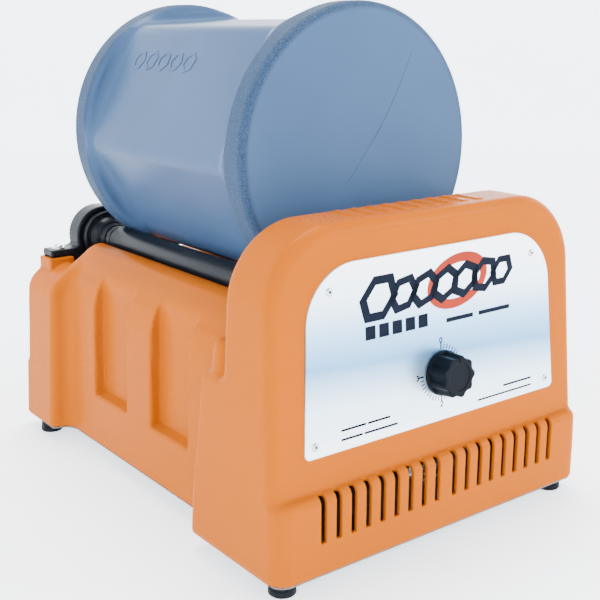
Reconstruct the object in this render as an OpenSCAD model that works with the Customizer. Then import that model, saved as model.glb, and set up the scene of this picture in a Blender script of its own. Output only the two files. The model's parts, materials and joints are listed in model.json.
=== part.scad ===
// Rotary tumbler: a six-sided drum turns on two rollers above a moulded housing that holds the motor drive.
// Millimetres. +Z is up, the control panel faces -Y, and the origin is on the floor under the box's middle.
// Inside machine(), z = 0 is the housing's lower edge and y = 0 is the front of its skirt.

/* [Housing] */
// Width across the front skirt
housing_w = 290; // [286:1:300]
// Length from the front skirt to the rear wall
housing_l = 391.4; // [388:0.2:396]
// Height of the skirt that runs round the front
skirt_h = 55; // [50:1:60]
// Height of the front tower above the housing's lower edge
tower_h = 222; // [216:1:230]
// Radius of the tower's two top corners
tower_corner_r = 50; // [40:1:56]
// Wall thickness of the moulding
wall = 3.2; // [2.5:0.1:4]
// Half width of the bed's side walls at the bottom
bed_half = 123.7; // [120:0.1:125]
// Height of the bed's floor under the drum
bed_floor = 134; // [130:1:135]
// Height of the two ridges beside the rollers
ridge_z = 158; // [150:1:160]
// Length of the post at the rear
post_l = 55; // [50:1:58]
// Depth of the pockets moulded into the bed's side walls
pocket_d = 8; // [4:0.5:9]

/* [Panel and timer] */
// Half width of the control panel at its lower edge
panel_half = 117.2; // [110:0.1:120]
// Height of the control panel along the leaning face
panel_h = 121.3; // [110:0.1:125]
// Thickness of the control panel
panel_t = 1.2; // [0.8:0.1:2]
// Radius of the timer knob's skirt
knob_r = 15.8; // [14:0.1:18]
// How far the timer knob stands off the face
knob_reach = 19; // [17:0.5:24]

/* [Drum] */
// Radius of the two rims that ride on the rollers
rim_r = 104; // [98:0.5:104]
// Width of each rim
rim_w = 23.9; // [20:0.1:26]
// Corner radius of the six-sided body
hex_r = 103.5; // [96:0.5:105]
// Length of the drum over both rims
drum_l = 248.2; // [240:0.1:250]
// Front of the drum, measured back from the skirt
drum_y = 94.2; // [90:0.1:98]
// Wall thickness of the drum
drum_wall = 4; // [3:0.5:5]
// Radius of the mouth in the drum's rear end
mouth_r = 58; // [54:1:60]

/* [Rollers and drive] */
// Half the distance between the rollers
roller_x = 67.2; // [64:0.1:70]
// Height of the roller axes
roller_z = 158; // [156:0.5:160]
// Radius of the roller sleeves
roller_r = 11.8; // [11:0.1:12.5]
// Radius of the steel roller shafts
shaft_r = 5; // [4:0.5:5.5]
// Groove radius of the pulley on the driven roller
driven_r = 30; // [28:0.5:31]
// Groove radius of the motor pulley
motor_r = 8; // [7:0.5:9]
// Height of the motor shaft
motor_z = 46; // [44:1:48]

/* [Feet] */
// Height from the floor to the housing's lower edge
foot_h = 12; // [10:0.5:14]
// Radius of each rubber foot
foot_r = 9.5; // [8:0.5:11]

/* [Hidden] */

$fn = 64;
eps = 0.01;
overlap = 1;                    // how far cutters and roots run past the face they cut or join
run_gap = 0.05;                 // radial clearance of a shaft in its bearing
free_gap = 0.3;                 // gap between surfaces that move past each other

housing_half = housing_w / 2;
side_draft = 0.04;              // how far each side leans in per millimetre of height
front_lean = 0.07;              // how far the tower's face leans back per millimetre of height
lean_angle = atan(front_lean);
face_y0 = 7.7;                  // tower face behind the skirt, at the skirt's top
side_step = 1.1;                // tower side inside the skirt
tower_rear_top = 64.4;
tower_rear_mid = 67.5;
buttress_h = 120;               // the tower is deeper below this height
buttress_rise = 1.5;
buttress_rear = 91;
shoulder_r = 13.4;               // rounded lump on each buttress, against the bed
shoulder_top_r = 10;
shoulder_h = 30;
base_rear = 104.2;
skirt_chamfer = 4;
skirt_corner_r = 12;
edge_r = 8;                     // round along the tower's top edges
ridge_x = 83;                   // inner face of each ridge
crease_z = 133;                 // where the bed's side walls turn into the roof slope
post_half = 141.5;
post_draft = 0.06;
rear_step = 4;                  // the rear skirt stands this far behind the wall above it
rear_skirt_h = 51;
rear_skirt_l = 20;
post_y = housing_l - post_l;
post_corner_r = 20;
plate_t = 1.5;
plate_inset = 1.2;
plate_corner = 6.4;
vent_y = 236;

drum_z = roller_z + sqrt(pow(rim_r + roller_r + free_gap, 2) - pow(roller_x, 2));
drum_back = drum_y + drum_l;
hex_turn = 3;                   // the drum is parked with one corner this far above level
hex_round = 16;

panel_z0 = 22;                  // lower edge of the panel, up the slope from the skirt's top
rivet_low = [109, 30];
rivet_high = [93.5, 126.5];
rivet_r = 1.6;
dial_z = 111;                   // height of the timer's axis on the face
dial_x = 1.5;
bush_r = 4.9;                   // threaded neck that holds the timer to the panel
timer_shaft_r = 3;
nut_t = 2.5;
grip_r = 14.6;
grip_front_r = 13;

pulley_y = 42;                  // front of both pulleys
pulley_w = 12;
belt_w = 6;
belt_t = 3;
pulley_rim = 5;                 // pulley flanges stand this far above the groove
motor_x = roller_x;
stack_y = 74;
stack_l = 28;
stack_half = 30;
rotor_r = 15.4;
stator_bore_r = 16;
motor_shaft_r = 4;
coil_z = motor_z + 23;
coil_h = 26;
limb_half = 9;
bracket_gap = 12;               // motor bearing brackets stand this far off the stack
bolt_x = 25;

sleeve_y0 = 70;
sleeve_y1 = 344;
flange_y0 = 344;
flange_y1 = 366;
block_y0 = 368;
block_y1 = 387;
block_r = 26;
bearing_r = 13;
bush_outer_r = 9;
bush_y = 62.3;                  // inner face of the tower's rear wall at the rollers
block_screw_x = 108;
block_screw_y = 378;
pad_top = 143;

mouth_lip = 4;
lid_y = drum_back + mouth_lip + free_gap;
lid_t = 5;
lid_r = 66;
plug_r = mouth_r - 3.5;
plug_l = 12;
clamp_t = 3;
stud_r = 4;
lid_knob_y = lid_y + lid_t + 1.5;
lid_knob_l = 18;

screw_r = 1.8;
foot_points = [[-130, 16], [130, 16], [-130, 365], [130, 365]];
plate_points = [[-112, 150], [112, 150], [-112, 290], [112, 290]];
boss_h = 20;
boss_r = 5.5;
gland_x = -95;
gland_z = 30;
gland_r = 8;
gland_flange = 4;
lead_r = 2.6;

front_y = face_y0 + front_lean * (dial_z - skirt_h) - knob_reach * cos(lean_angle)
    - grip_front_r * sin(lean_angle);
back_y = housing_l + gland_flange;
mid_y = (front_y + back_y) / 2;

// Routes of the two internal leads, through points chosen by hand.
timer_route = [[-92, 313, 15], [-90, 306, 16], [-84, 290, 20], [-74, 250, 24], [-62, 200, 28],
    [-48, 150, 36], [-34, 110, 56], [-22, 84, 82], [-15, 68, 98], [-12, 60, 102]];
motor_route = [[12, 60, 102], [17, 63, 100], [24, 66, 96], [32, 68, 91], [39, 69, 88], [43, 69, 87],
    [46.4, 69, 87]];

orange = "#f08a1d";
charcoal = "#2a2c30";
drum_blue = "#6d84a3";

function face_at(z) = face_y0 + front_lean * (z - skirt_h);
function tower_half_at(z) = housing_half - side_step - side_draft * (z - skirt_h);
function bed_half_at(z) = bed_half - side_draft * z;
function post_half_at(z) = post_half - post_draft * z;
function arc(x, y, r, from, to, n = 8) =
    [for (i = [0:n]) let (a = from + (to - from) * i / n) [x + r * cos(a), y + r * sin(a)]];
function mirrored(points) = [for (i = [len(points) - 1:-1:0]) [-points[i][0], points[i][1]]];
function floor_at(inset) = inset > 0 ? -overlap : 0;

// Places its children in the row frame.
module machine() {
    translate([0, -mid_y, foot_h]) children();
}

// Extrudes a profile drawn in y and z across the width w.
module across(w) {
    rotate([90, 0, 90]) linear_extrude(height = w, center = true) children();
}

// Extrudes a profile drawn in x and z from y0 to y1.
module along(y0, y1) {
    translate([0, y1, 0]) rotate([90, 0, 0]) linear_extrude(height = y1 - y0) children();
}

// A cylinder, cone or tube whose axis runs along y from y0.
module rod(x, y0, z, l, r, r2 = -1, bore = 0) {
    translate([x, y0, z]) rotate([-90, 0, 0]) difference() {
        cylinder(h = l, r1 = r, r2 = r2 < 0 ? r : r2);
        if (bore > 0) translate([0, 0, -overlap]) cylinder(h = l + 2 * overlap, r = bore);
    }
}

// Local frame of the leaning face: x across, z up the slope, -y outwards, origin at the skirt's top.
module on_face() {
    translate([0, face_y0, skirt_h]) rotate([-lean_angle, 0, 0]) children();
}

// Local frame of the timer: z points out of the panel, origin on the face.
module on_dial() {
    on_face() translate([dial_x, 0, (dial_z - skirt_h) / cos(lean_angle)])
        rotate([90, 0, 0]) children();
}

module both_sides() {
    children();
    mirror([1, 0, 0]) children();
}

// A bent round lead with flat ends, swept through the points of a route.
module lead(route, r, sides = 8) {
    last = len(route) - 1;
    function unit(v) = v / norm(v);
    function heading(i) = unit(route[min(i + 1, last)] - route[max(i - 1, 0)]);
    function sideways(d) = unit(cross(d, [0.3, 0, 1]));
    rings = [for (i = [0:last]) let (d = heading(i), s = sideways(d), u = cross(s, d))
        for (k = [0:sides - 1]) route[i] + r * (cos(360 * k / sides) * s + sin(360 * k / sides) * u)];
    tube = [for (i = [0:last - 1]) for (k = [0:sides - 1]) let (j = (k + 1) % sides)
        [i * sides + k, i * sides + j, (i + 1) * sides + j, (i + 1) * sides + k]];
    polyhedron(rings, concat([[for (k = [sides - 1:-1:0]) k]], tube,
        [[for (k = [0:sides - 1]) last * sides + k]]));
}

// ---- Housing ----

module tower_block(inset) {
    low = floor_at(inset);
    top = tower_h - inset;
    corner = tower_corner_r - inset;
    corner_z = tower_h - tower_corner_r;
    corner_x = tower_half_at(corner_z) - tower_corner_r;
    right = concat([[tower_half_at(low) - inset, low]], arc(corner_x, corner_z, corner, 0, 90));
    intersection() {
        across(housing_w) polygon(concat(
            [[face_at(low) + inset, low]],
            arc(face_at(top - edge_r) + inset + edge_r, top - edge_r, edge_r, 180, 90, 5),
            arc(tower_rear_top - inset - edge_r, top - edge_r, edge_r, 90, 0, 5),
            [[tower_rear_mid - inset, buttress_h + buttress_rise - inset],
             [buttress_rear - inset, buttress_h - inset],
             [base_rear - inset, low]]));
        along(0, base_rear) polygon(concat(right, mirrored(right)));
    }
}

module skirt_block(inset) {
    low = floor_at(inset);
    top = skirt_h - inset;
    half = housing_half - inset;
    r = skirt_corner_r - inset;
    rear = base_rear - inset;
    rear_top = base_rear - (base_rear - buttress_rear) * skirt_h / buttress_h - inset;
    edge = [[half, low], [half, top - skirt_chamfer], [half - skirt_chamfer, top]];
    corner = arc(half - r, inset + r, r, 0, -90);
    intersection() {
        across(housing_w) polygon([[inset, low], [inset, top - skirt_chamfer],
            [inset + skirt_chamfer, top], [rear_top, top], [rear, low]]);
        along(0, base_rear) polygon(concat(edge, mirrored(edge)));
        translate([0, 0, low]) linear_extrude(height = top - low)
            polygon(concat([[half, rear]], corner, mirrored(corner), [[-half, rear]]));
    }
}

module bed_block(inset, y0, y1) {
    low = floor_at(inset);
    slope_in = inset * sqrt(2);
    ridge = ridge_z - inset;
    right = [[bed_half_at(low) - inset, low],
        [bed_half_at(crease_z) - inset, crease_z - slope_in + inset],
        [bed_half_at(crease_z) - slope_in - (ridge - crease_z), ridge],
        [ridge_x + inset, ridge], [ridge_x + inset, bed_floor - inset]];
    along(y0, y1) polygon(concat(right, mirrored(right)));
}

module post_block(inset, y0, y1, top) {
    low = floor_at(inset);
    r = post_corner_r - inset;
    corner_z = top - post_corner_r;
    right = concat([[post_half_at(low) - inset, low]],
        arc(post_half_at(corner_z) - post_corner_r, corner_z, r, 0, 90));
    along(y0, y1) polygon(concat(right, mirrored(right)));
}

module rear_skirt(inset) {
    low = floor_at(inset);
    top = rear_skirt_h - inset;
    right = [[post_half_at(low) - inset, low], [post_half_at(top) - inset, top]];
    intersection() {
        across(housing_w) polygon([[housing_l - rear_skirt_l, low], [housing_l - rear_skirt_l, top],
            [housing_l - rear_step - inset, top], [housing_l - inset, top - rear_step],
            [housing_l - inset, low]]);
        along(housing_l - rear_skirt_l, housing_l) polygon(concat(right, mirrored(right)));
    }
}

module pocket(y0, y1, grow) {
    depth = pocket_d + grow;
    low_z = 42 - grow;
    high_z = ridge_z + 20;
    along(y0 - grow, y1 + grow) polygon([
        [bed_half_at(low_z) + 30, low_z], [bed_half_at(low_z), low_z],
        [bed_half_at(low_z) - depth, low_z + depth * 0.7],
        [bed_half_at(high_z) - depth, high_z], [bed_half_at(high_z) + 30, high_z]]);
}

module pockets(grow) {
    both_sides() {
        pocket(141, 194.5, grow);
        pocket(233, 287, grow);
    }
}

// The ridges end in a slope just before the bearing blocks.
module ridge_end(grow) {
    across(housing_w) polygon([[340 - grow, ridge_z + overlap], [housing_l + overlap, ridge_z + overlap],
        [housing_l + overlap, bed_floor - grow], [352 - grow, bed_floor - grow]]);
}

module screw_boss(x, y, wall_x) {
    side = sign(x);
    translate([x, y, 0]) cylinder(h = boss_h, r = boss_r);
    translate([min(x, side * wall_x), y - 1.5, 0]) cube([abs(wall_x - abs(x)), 3, boss_h]);
}

module vent_slots() {
    slot_w = 4.5;
    both_sides() for (k = [0:8])
        translate([8.3 + 12.5 * k - slot_w / 2, -overlap, 22]) cube([slot_w, 9.5, 34]);
}

module top_ribs() {
    for (k = [-4:4]) translate([14 * k - 3, 32, tower_h - overlap]) cube([6, 24, overlap + 0.9]);
}

module housing() {
    post_top = bed_floor;
    rear_upper = housing_l - rear_step;
    color(orange) machine() difference() {
        union() {
            difference() {
                union() {
                    tower_block(0);
                    skirt_block(0);
                    difference() {
                        bed_block(0, 60, rear_upper);
                        pockets(0);
                        ridge_end(0);
                    }
                    post_block(0, post_y, rear_upper, post_top);
                    rear_skirt(0);
                    both_sides() translate([99, 364, post_top - 2])
                        cube([23, rear_upper - 364, pad_top - post_top + 2]);
                    both_sides() translate([126.3, 77.6, buttress_h - 8])
                        cylinder(h = shoulder_h, r1 = shoulder_r, r2 = shoulder_top_r);
                }
                tower_block(wall);
                skirt_block(wall);
                difference() {
                    bed_block(wall, 40, rear_upper - wall);
                    pockets(wall);
                    ridge_end(wall);
                }
                post_block(wall, post_y + wall, rear_upper - wall, post_top);
                rear_skirt(wall);
            }
            for (p = foot_points)
                screw_boss(p[0], p[1], (p[1] > housing_l / 2 ? post_half : housing_half) - 2);
            for (p = plate_points) screw_boss(p[0], p[1], bed_half - 2);
            top_ribs();
        }
        vent_slots();
        for (p = concat(foot_points, plate_points))
            translate([p[0], p[1], -overlap]) cylinder(h = 16 + overlap, r = screw_r);
        both_sides() rod(roller_x, bush_y - 4, roller_z, 12, bush_outer_r);
        on_dial() translate([0, 0, -wall - 2]) cylinder(h = wall + 4, r = bush_r);
        on_face() rivet_places() translate([0, 0, -wall - 2]) cylinder(h = wall + 4, r = rivet_r);
        rod(gland_x, housing_l - 12, gland_z, 20, gland_r);
        both_sides() for (x = [block_screw_x, roller_x])
            translate([x, block_screw_y, bed_floor - wall - overlap]) cylinder(h = 20, r = screw_r);
    }
}

module plate_outline() {
    i = plate_inset;
    difference() {
        translate([i - housing_half, i]) square([housing_w - 2 * i, base_rear - 2 * i]);
        both_sides() translate([housing_half - i, i]) rotate(45) square(plate_corner * sqrt(2), center = true);
    }
    translate([i - bed_half, base_rear / 2]) square([2 * (bed_half - i), housing_l - base_rear]);
    translate([i - post_half, post_y + i]) square([2 * (post_half - i), post_l - 2 * i]);
}

module bottom_plate() {
    color("#3a3c40") machine() translate([0, 0, -plate_t]) difference() {
        linear_extrude(height = plate_t) plate_outline();
        for (p = concat(foot_points, plate_points))
            translate([p[0], p[1], -overlap]) cylinder(h = 4, r = screw_r);
        for (k = [0:7]) translate([-40 - 9 * k, vent_y, -overlap]) cube([4, 44, 4]);
        for (sx = [-1, 1], sy = [-1, 1])
            translate([motor_x + sx * 22, stack_y + stack_l / 2 + sy * 20, -overlap])
                cylinder(h = 4, r = screw_r);
        for (s = [-1, 1]) translate([-92 + s * 14, 326, -overlap]) cylinder(h = 4, r = 1.5);
    }
}

// ---- Feet and base fasteners ----

module rubber_feet() {
    recess_r = 5;
    top_r = foot_r - 1;
    h = foot_h - plate_t;
    color("#1c1d1f") machine() for (p = foot_points) translate([p[0], p[1], -foot_h]) difference() {
        cylinder(h = h, r1 = foot_r, r2 = top_r);
        translate([0, 0, -overlap]) cylinder(h = 5 + overlap, r = recess_r);
        cylinder(h = h + overlap, r = screw_r);
    }
}

module foot_washers() {
    color("silver") machine() for (p = foot_points) translate([p[0], p[1], 4 - foot_h]) difference() {
        cylinder(h = 1, r = 4.6);
        translate([0, 0, -overlap]) cylinder(h = 3, r = screw_r);
    }
}

// A pan-head screw that points up, its head's seat at the origin.
module screw(l, head_r = 3.4, head_h = 2.2) {
    cylinder(h = l, r = screw_r);
    translate([0, 0, -head_h]) difference() {
        cylinder(h = head_h, r1 = head_r - 0.8, r2 = head_r);
        for (a = [0, 90]) rotate(a) translate([-2, -0.4, -overlap]) cube([4, 0.8, overlap + 1]);
    }
}

module foot_screws() {
    color("silver") machine() for (p = foot_points) translate([p[0], p[1], 4 - foot_h]) screw(foot_h + 10);
}

module plate_screws() {
    color("silver") machine() for (p = plate_points) translate([p[0], p[1], -plate_t]) screw(14);
}

// ---- Panel and timer ----

module rivet_places() {
    for (p = [rivet_low, rivet_high], s = [-1, 1])
        translate([s * p[0], 0, p[1]]) rotate([90, 0, 0]) children();
}

module control_panel() {
    top_r = 40;
    low_r = 4;
    top_half = panel_half - side_draft * panel_h;
    z1 = panel_z0 + panel_h;
    right = concat(arc(panel_half - low_r, panel_z0 + low_r, low_r, -90, 0, 4),
        arc(top_half - top_r, z1 - top_r, top_r, 0, 90, 12));
    color("#cfd9e3") machine() difference() {
        on_face() along(-panel_t, 0) polygon(concat(right, mirrored(right)));
        on_dial() translate([0, 0, -overlap]) cylinder(h = 5, r = bush_r);
        on_face() rivet_places() translate([0, 0, -overlap]) cylinder(h = 4, r = rivet_r);
    }
}

module panel_rivets() {
    color("silver") machine() on_face() rivet_places() {
        translate([0, 0, -wall - 1]) cylinder(h = wall + 1 + panel_t, r = rivet_r);
        translate([0, 0, panel_t]) cylinder(h = 1, r1 = 2.8, r2 = 1.9);
        translate([0, 0, -wall - 1.5]) cylinder(h = 1.5, r = 2.4);
    }
}

module timer_body() {
    depth = 32;
    back = -wall - depth;
    color("#d8d4c4") machine() on_dial() difference() {
        union() {
            translate([-25, -25, back]) cube([50, 50, depth]);
            translate([0, 0, -wall - 0.5]) cylinder(h = wall + panel_t + nut_t + 1.5, r = bush_r);
            for (s = [-1, 1]) translate([s * 20 - 3, -25, back - 3]) cube([6, 50, 4]);
        }
        translate([0, 0, -wall - 12]) cylinder(h = 30, r = timer_shaft_r + run_gap);
    }
}

module timer_terminals() {
    color("#c9a24a") machine() on_dial()
        for (x = [-12, 12]) translate([x - 3, -12, -wall - 32 - 9]) cube([6, 0.8, 9]);
}

module timer_nut() {
    color("silver") machine() on_dial() translate([0, 0, panel_t]) difference() {
        cylinder(h = nut_t, r = 8, $fn = 6);
        translate([0, 0, -overlap]) cylinder(h = 5, r = bush_r);
    }
}

module timer_shaft() {
    color("silver") machine() on_dial() translate([0, 0, -wall - 11]) cylinder(h = 25, r = timer_shaft_r);
}

module timer_knob() {
    gap = 0.9;
    skirt_t = 3.4;
    lobes = 9;
    color(charcoal) machine() on_dial() difference() {
        union() {
            translate([0, 0, panel_t + gap]) cylinder(h = skirt_t, r = knob_r);
            difference() {
                translate([0, 0, panel_t + gap + skirt_t])
                    cylinder(h = knob_reach - panel_t - gap - skirt_t, r1 = grip_r, r2 = grip_front_r);
                for (k = [0:lobes - 1]) rotate(20 + 360 * k / lobes)
                    translate([grip_r + 3.2, 0, panel_t + gap + skirt_t]) cylinder(h = knob_reach, r = 4.6);
            }
        }
        cylinder(h = panel_t + nut_t + 2, r = 9);
        cylinder(h = 10.8, r = timer_shaft_r);
    }
}

// ---- Motor ----

module motor_laminations() {
    window_w = 12;
    color("#7c8088") machine() difference() {
        translate([motor_x - stack_half, stack_y, motor_z - 24]) cube([2 * stack_half, stack_l, 86]);
        rod(motor_x, stack_y - overlap, motor_z, stack_l + 2 * overlap, stator_bore_r);
        for (s = [-1, 1]) {
            translate([motor_x + s * (limb_half + window_w / 2) - window_w / 2, stack_y - overlap, coil_z])
                cube([window_w, stack_l + 2 * overlap, coil_h]);
            rod(motor_x + s * bolt_x, stack_y - overlap, motor_z, stack_l + 2 * overlap, screw_r);
        }
    }
}

module motor_coil() {
    proud = 10;
    gap = 0.2;
    color("#b5651d") machine() difference() {
        translate([motor_x - limb_half - 11.6, stack_y - proud, coil_z + gap])
            cube([2 * (limb_half + 11.6), stack_l + 2 * proud, coil_h - 2 * gap]);
        translate([motor_x - limb_half, stack_y, coil_z - overlap])
            cube([2 * limb_half, stack_l, coil_h + 2 * overlap]);
    }
}

module bearing_bracket() {
    half = 30;
    strap = 6;
    t = 2;
    difference() {
        union() {
            translate([-half, 0, -strap]) cube([2 * half, t, 2 * strap]);
            for (s = [-1, 1]) translate([s * bolt_x - 5, 0, -strap]) cube([10, bracket_gap, 2 * strap]);
            rod(0, -4, 0, 10, 9);
        }
        rod(0, -5, 0, 12, motor_shaft_r + run_gap);
        for (s = [-1, 1]) rod(s * bolt_x, -overlap, 0, bracket_gap + 2 * overlap, screw_r);
    }
}

module motor_bearing_brackets() {
    color("#9aa0a8") machine() {
        translate([motor_x, stack_y - bracket_gap, motor_z]) bearing_bracket();
        translate([motor_x, stack_y + stack_l + bracket_gap, motor_z]) mirror([0, 1, 0]) bearing_bracket();
    }
}

module motor_bolts() {
    l = stack_l + 2 * bracket_gap;
    color("silver") machine() for (s = [-1, 1]) {
        rod(motor_x + s * bolt_x, stack_y - bracket_gap, motor_z, l + 6, screw_r);
        rod(motor_x + s * bolt_x, stack_y - bracket_gap - 2.2, motor_z, 2.2, 3.4);
        rod(motor_x + s * bolt_x, stack_y + stack_l + bracket_gap, motor_z, 2.6, 3.4, bore = screw_r);
    }
}

module motor_mount() {
    t = 2;
    foot_l = 48;
    y0 = stack_y + stack_l / 2 - foot_l / 2;
    cradle_h = motor_z - 24 - t;
    color("#8b9097") machine() difference() {
        union() {
            translate([motor_x - stack_half - t, y0, 0]) cube([2 * (stack_half + t), foot_l, t]);
            for (s = [-1, 1])
                translate([motor_x + s * (stack_half + t / 2) - t / 2, stack_y, 0]) cube([t, stack_l, 40]);
            translate([motor_x - stack_half, stack_y + 2, t - eps])
                cube([2 * stack_half, stack_l - 4, cradle_h + eps]);
        }
        translate([motor_x - stack_half + 6, stack_y - 5, 6]) cube([2 * stack_half - 12, stack_l + 10, 12]);
        for (sx = [-1, 1], sy = [-1, 1])
            translate([motor_x + sx * 22, stack_y + stack_l / 2 + sy * 20, -overlap])
                cylinder(h = 4, r = screw_r);
    }
}

module motor_mount_screws() {
    color("silver") machine() for (sx = [-1, 1], sy = [-1, 1])
        translate([motor_x + sx * 22, stack_y + stack_l / 2 + sy * 20, -plate_t]) {
            screw(6);
            translate([0, 0, plate_t + 2]) difference() {
                cylinder(h = 2, r = 3.4, $fn = 6);
                translate([0, 0, -overlap]) cylinder(h = 4, r = screw_r);
            }
        }
}

module rotor_core() {
    color("#a6acb3") machine()
        rod(motor_x, stack_y - 1, motor_z, stack_l + 2, rotor_r, bore = motor_shaft_r);
}

module motor_shaft() {
    y0 = pulley_y - 2;
    color("silver") machine() rod(motor_x, y0, motor_z, stack_y + stack_l + 34 - y0, motor_shaft_r);
}

// A flat-groove pulley whose axis runs along y from y0.
module pulley(x, z, groove_r, bore, web_holes) {
    groove_w = belt_w + 1;
    side = (pulley_w - groove_w) / 2;
    difference() {
        union() {
            rod(x, pulley_y, z, side, groove_r + pulley_rim);
            rod(x, pulley_y + side - eps, z, groove_w + 2 * eps, groove_r);
            rod(x, pulley_y + side + groove_w, z, side, groove_r + pulley_rim);
        }
        rod(x, pulley_y - overlap, z, pulley_w + 2 * overlap, bore);
        if (web_holes) for (k = [0:4])
            rod(x + 19 * cos(72 * k), pulley_y - overlap, z + 19 * sin(72 * k), pulley_w + 2 * overlap, 5);
    }
}

module motor_pulley() {
    color(charcoal) machine() pulley(motor_x, motor_z, motor_r, motor_shaft_r, false);
}

module cooling_fan() {
    fan_y = stack_y + stack_l + 20;
    blades = 7;
    color("#3b5f8a") machine() {
        rod(motor_x, fan_y, motor_z, 10, 10, bore = motor_shaft_r);
        translate([motor_x, fan_y + 5, motor_z]) rotate([90, 0, 0])
            for (k = [0:blades - 1]) rotate(360 * k / blades) translate([8.5, 0, 0]) rotate([35, 0, 0])
                translate([0, -6, -0.7]) cube([19, 12, 1.4]);
    }
}

module belt_path(grow) {
    hull() {
        translate([motor_x, motor_z]) circle(r = motor_r + grow, $fn = 40);
        translate([roller_x, roller_z]) circle(r = driven_r + grow, $fn = 72);
    }
}

module drive_belt() {
    y0 = pulley_y + (pulley_w - belt_w) / 2;
    color("#202124") machine() along(y0, y0 + belt_w) difference() {
        belt_path(free_gap + belt_t);
        belt_path(free_gap);
    }
}

module driven_pulley() {
    color(charcoal) machine() {
        difference() {
            union() {
                pulley(roller_x, roller_z, driven_r, shaft_r, true);
                rod(roller_x, pulley_y + pulley_w - eps, roller_z, 3, 10, bore = shaft_r);
            }
            translate([roller_x, pulley_y + pulley_w / 2, roller_z]) cylinder(h = 40, r = 1.5);
        }
    }
}

module pulley_set_screw() {
    color("silver") machine() translate([roller_x, pulley_y + pulley_w / 2, roller_z + shaft_r])
        cylinder(h = 8, r = 1.5);
}

// ---- Rollers ----

module roller_shaft(x) {
    color("silver") machine() rod(x, pulley_y - 4, roller_z, block_y1 - 1 - pulley_y, shaft_r);
}

module roller_sleeve(x) {
    color("#26282b") machine() rod(x, sleeve_y0, roller_z, sleeve_y1 - sleeve_y0, roller_r, bore = shaft_r);
}

module roller_flange(x) {
    color("#1f2022") machine() difference() {
        union() {
            rod(x, flange_y0, roller_z, 10, 13);
            rod(x, flange_y0 + 9, roller_z, 8, 14.5, 17);
            rod(x, flange_y0 + 16, roller_z, flange_y1 - flange_y0 - 16, 22);
        }
        rod(x, flange_y0 - overlap, roller_z, 40, shaft_r);
    }
}

module drive_roller_shaft() roller_shaft(roller_x);
module drive_roller_sleeve() roller_sleeve(roller_x);
module drive_roller_flange() roller_flange(roller_x);
module idler_roller_shaft() roller_shaft(-roller_x);
module idler_roller_sleeve() roller_sleeve(-roller_x);
module idler_roller_flange() roller_flange(-roller_x);

module front_bushes() {
    color("#c9a24a") machine() both_sides() {
        rod(roller_x, bush_y - eps, roller_z, 6, bush_outer_r, bore = shaft_r + run_gap);
        rod(roller_x, bush_y - 2.6, roller_z, 2.6, 13, bore = shaft_r + run_gap);
    }
}

// The block's round eye stands on the bed, with one foot that reaches out over the pad.
module bearing_block(side) {
    l = block_y1 - block_y0;
    foot_reach = 118.5;
    color("#1f2022") machine() mirror([side < 0 ? 1 : 0, 0, 0]) difference() {
        union() {
            rod(roller_x, block_y0, roller_z, l, block_r);
            translate([roller_x - 24, block_y0, bed_floor]) cube([54, l, 14]);
            translate([roller_x + 10, block_y0, pad_top]) cube([foot_reach - roller_x - 10, l, 6.5]);
        }
        translate([roller_x - 40, block_y0 - overlap, bed_floor - 20]) cube([100, l + 2, 20]);
        rod(roller_x, block_y0 - overlap, roller_z, l - 3, bearing_r);
        translate([block_screw_x, block_screw_y, pad_top - overlap]) cylinder(h = 20, r = screw_r);
        translate([roller_x, block_screw_y, bed_floor - overlap]) cylinder(h = 9, r = screw_r);
    }
}

module left_bearing_block() bearing_block(-1);
module right_bearing_block() bearing_block(1);

// Open ball bearings: two races with a ring of balls between them.
module rear_bearings() {
    w = 9;
    y0 = block_y0 + 3;
    ball_r = 1.75;
    ring_r = 9.45;
    play = 0.1;
    balls = 11;
    color("#b9bec4") machine() both_sides() {
        rod(roller_x, y0, roller_z, w, bearing_r, bore = ring_r + ball_r + play);
        rod(roller_x, y0, roller_z, w, ring_r - ball_r - play, bore = shaft_r + run_gap);
        for (k = [0:balls - 1]) let (a = 360 * k / balls)
            translate([roller_x + ring_r * cos(a), y0 + w / 2, roller_z + ring_r * sin(a)])
                sphere(r = ball_r, $fn = 24);
    }
}

module block_screws() {
    color("silver") machine() both_sides()
        translate([block_screw_x, block_screw_y, pad_top + 7.5]) mirror([0, 0, 1]) screw(18, 4, 2.6);
}

module block_washers() {
    color("silver") machine() both_sides()
        translate([block_screw_x, block_screw_y, pad_top + 6.5]) difference() {
            cylinder(h = 1, r = 6);
            translate([0, 0, -overlap]) cylinder(h = 3, r = screw_r);
        }
}

module block_base_screws() {
    color("silver") machine() both_sides() translate([roller_x, block_screw_y, bed_floor - wall]) screw(10);
}

// ---- Drum ----

// The six-sided outline with rounded corners, each corner a true arc.
module hex_outline(r, round_r) {
    reach = r - round_r / cos(30);
    union() {
        circle(r = reach, $fn = 6);
        for (k = [0:5]) rotate(60 * k) {
            translate([reach, 0]) circle(r = round_r);
            rotate(30) translate([0, -reach / 2]) square([reach * cos(30) + round_r, reach]);
        }
    }
}

module hex_prism(y0, l, r, round_r) {
    translate([0, y0 + l, drum_z]) rotate([90, 0, 0])
        linear_extrude(height = l) rotate(hex_turn) hex_outline(r, round_r);
}

// One rim, a disc with rounded outer edges, as a turned profile.
module rim_disc(y0, w, r, round_r) {
    translate([0, y0, drum_z]) rotate([-90, 0, 0]) rotate_extrude($fn = 128) polygon(concat(
        [[0, 0]],
        arc(r - round_r, round_r, round_r, -90, 0, 4),
        arc(r - round_r, w - round_r, round_r, 0, 90, 4),
        [[0, w]]));
}

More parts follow.
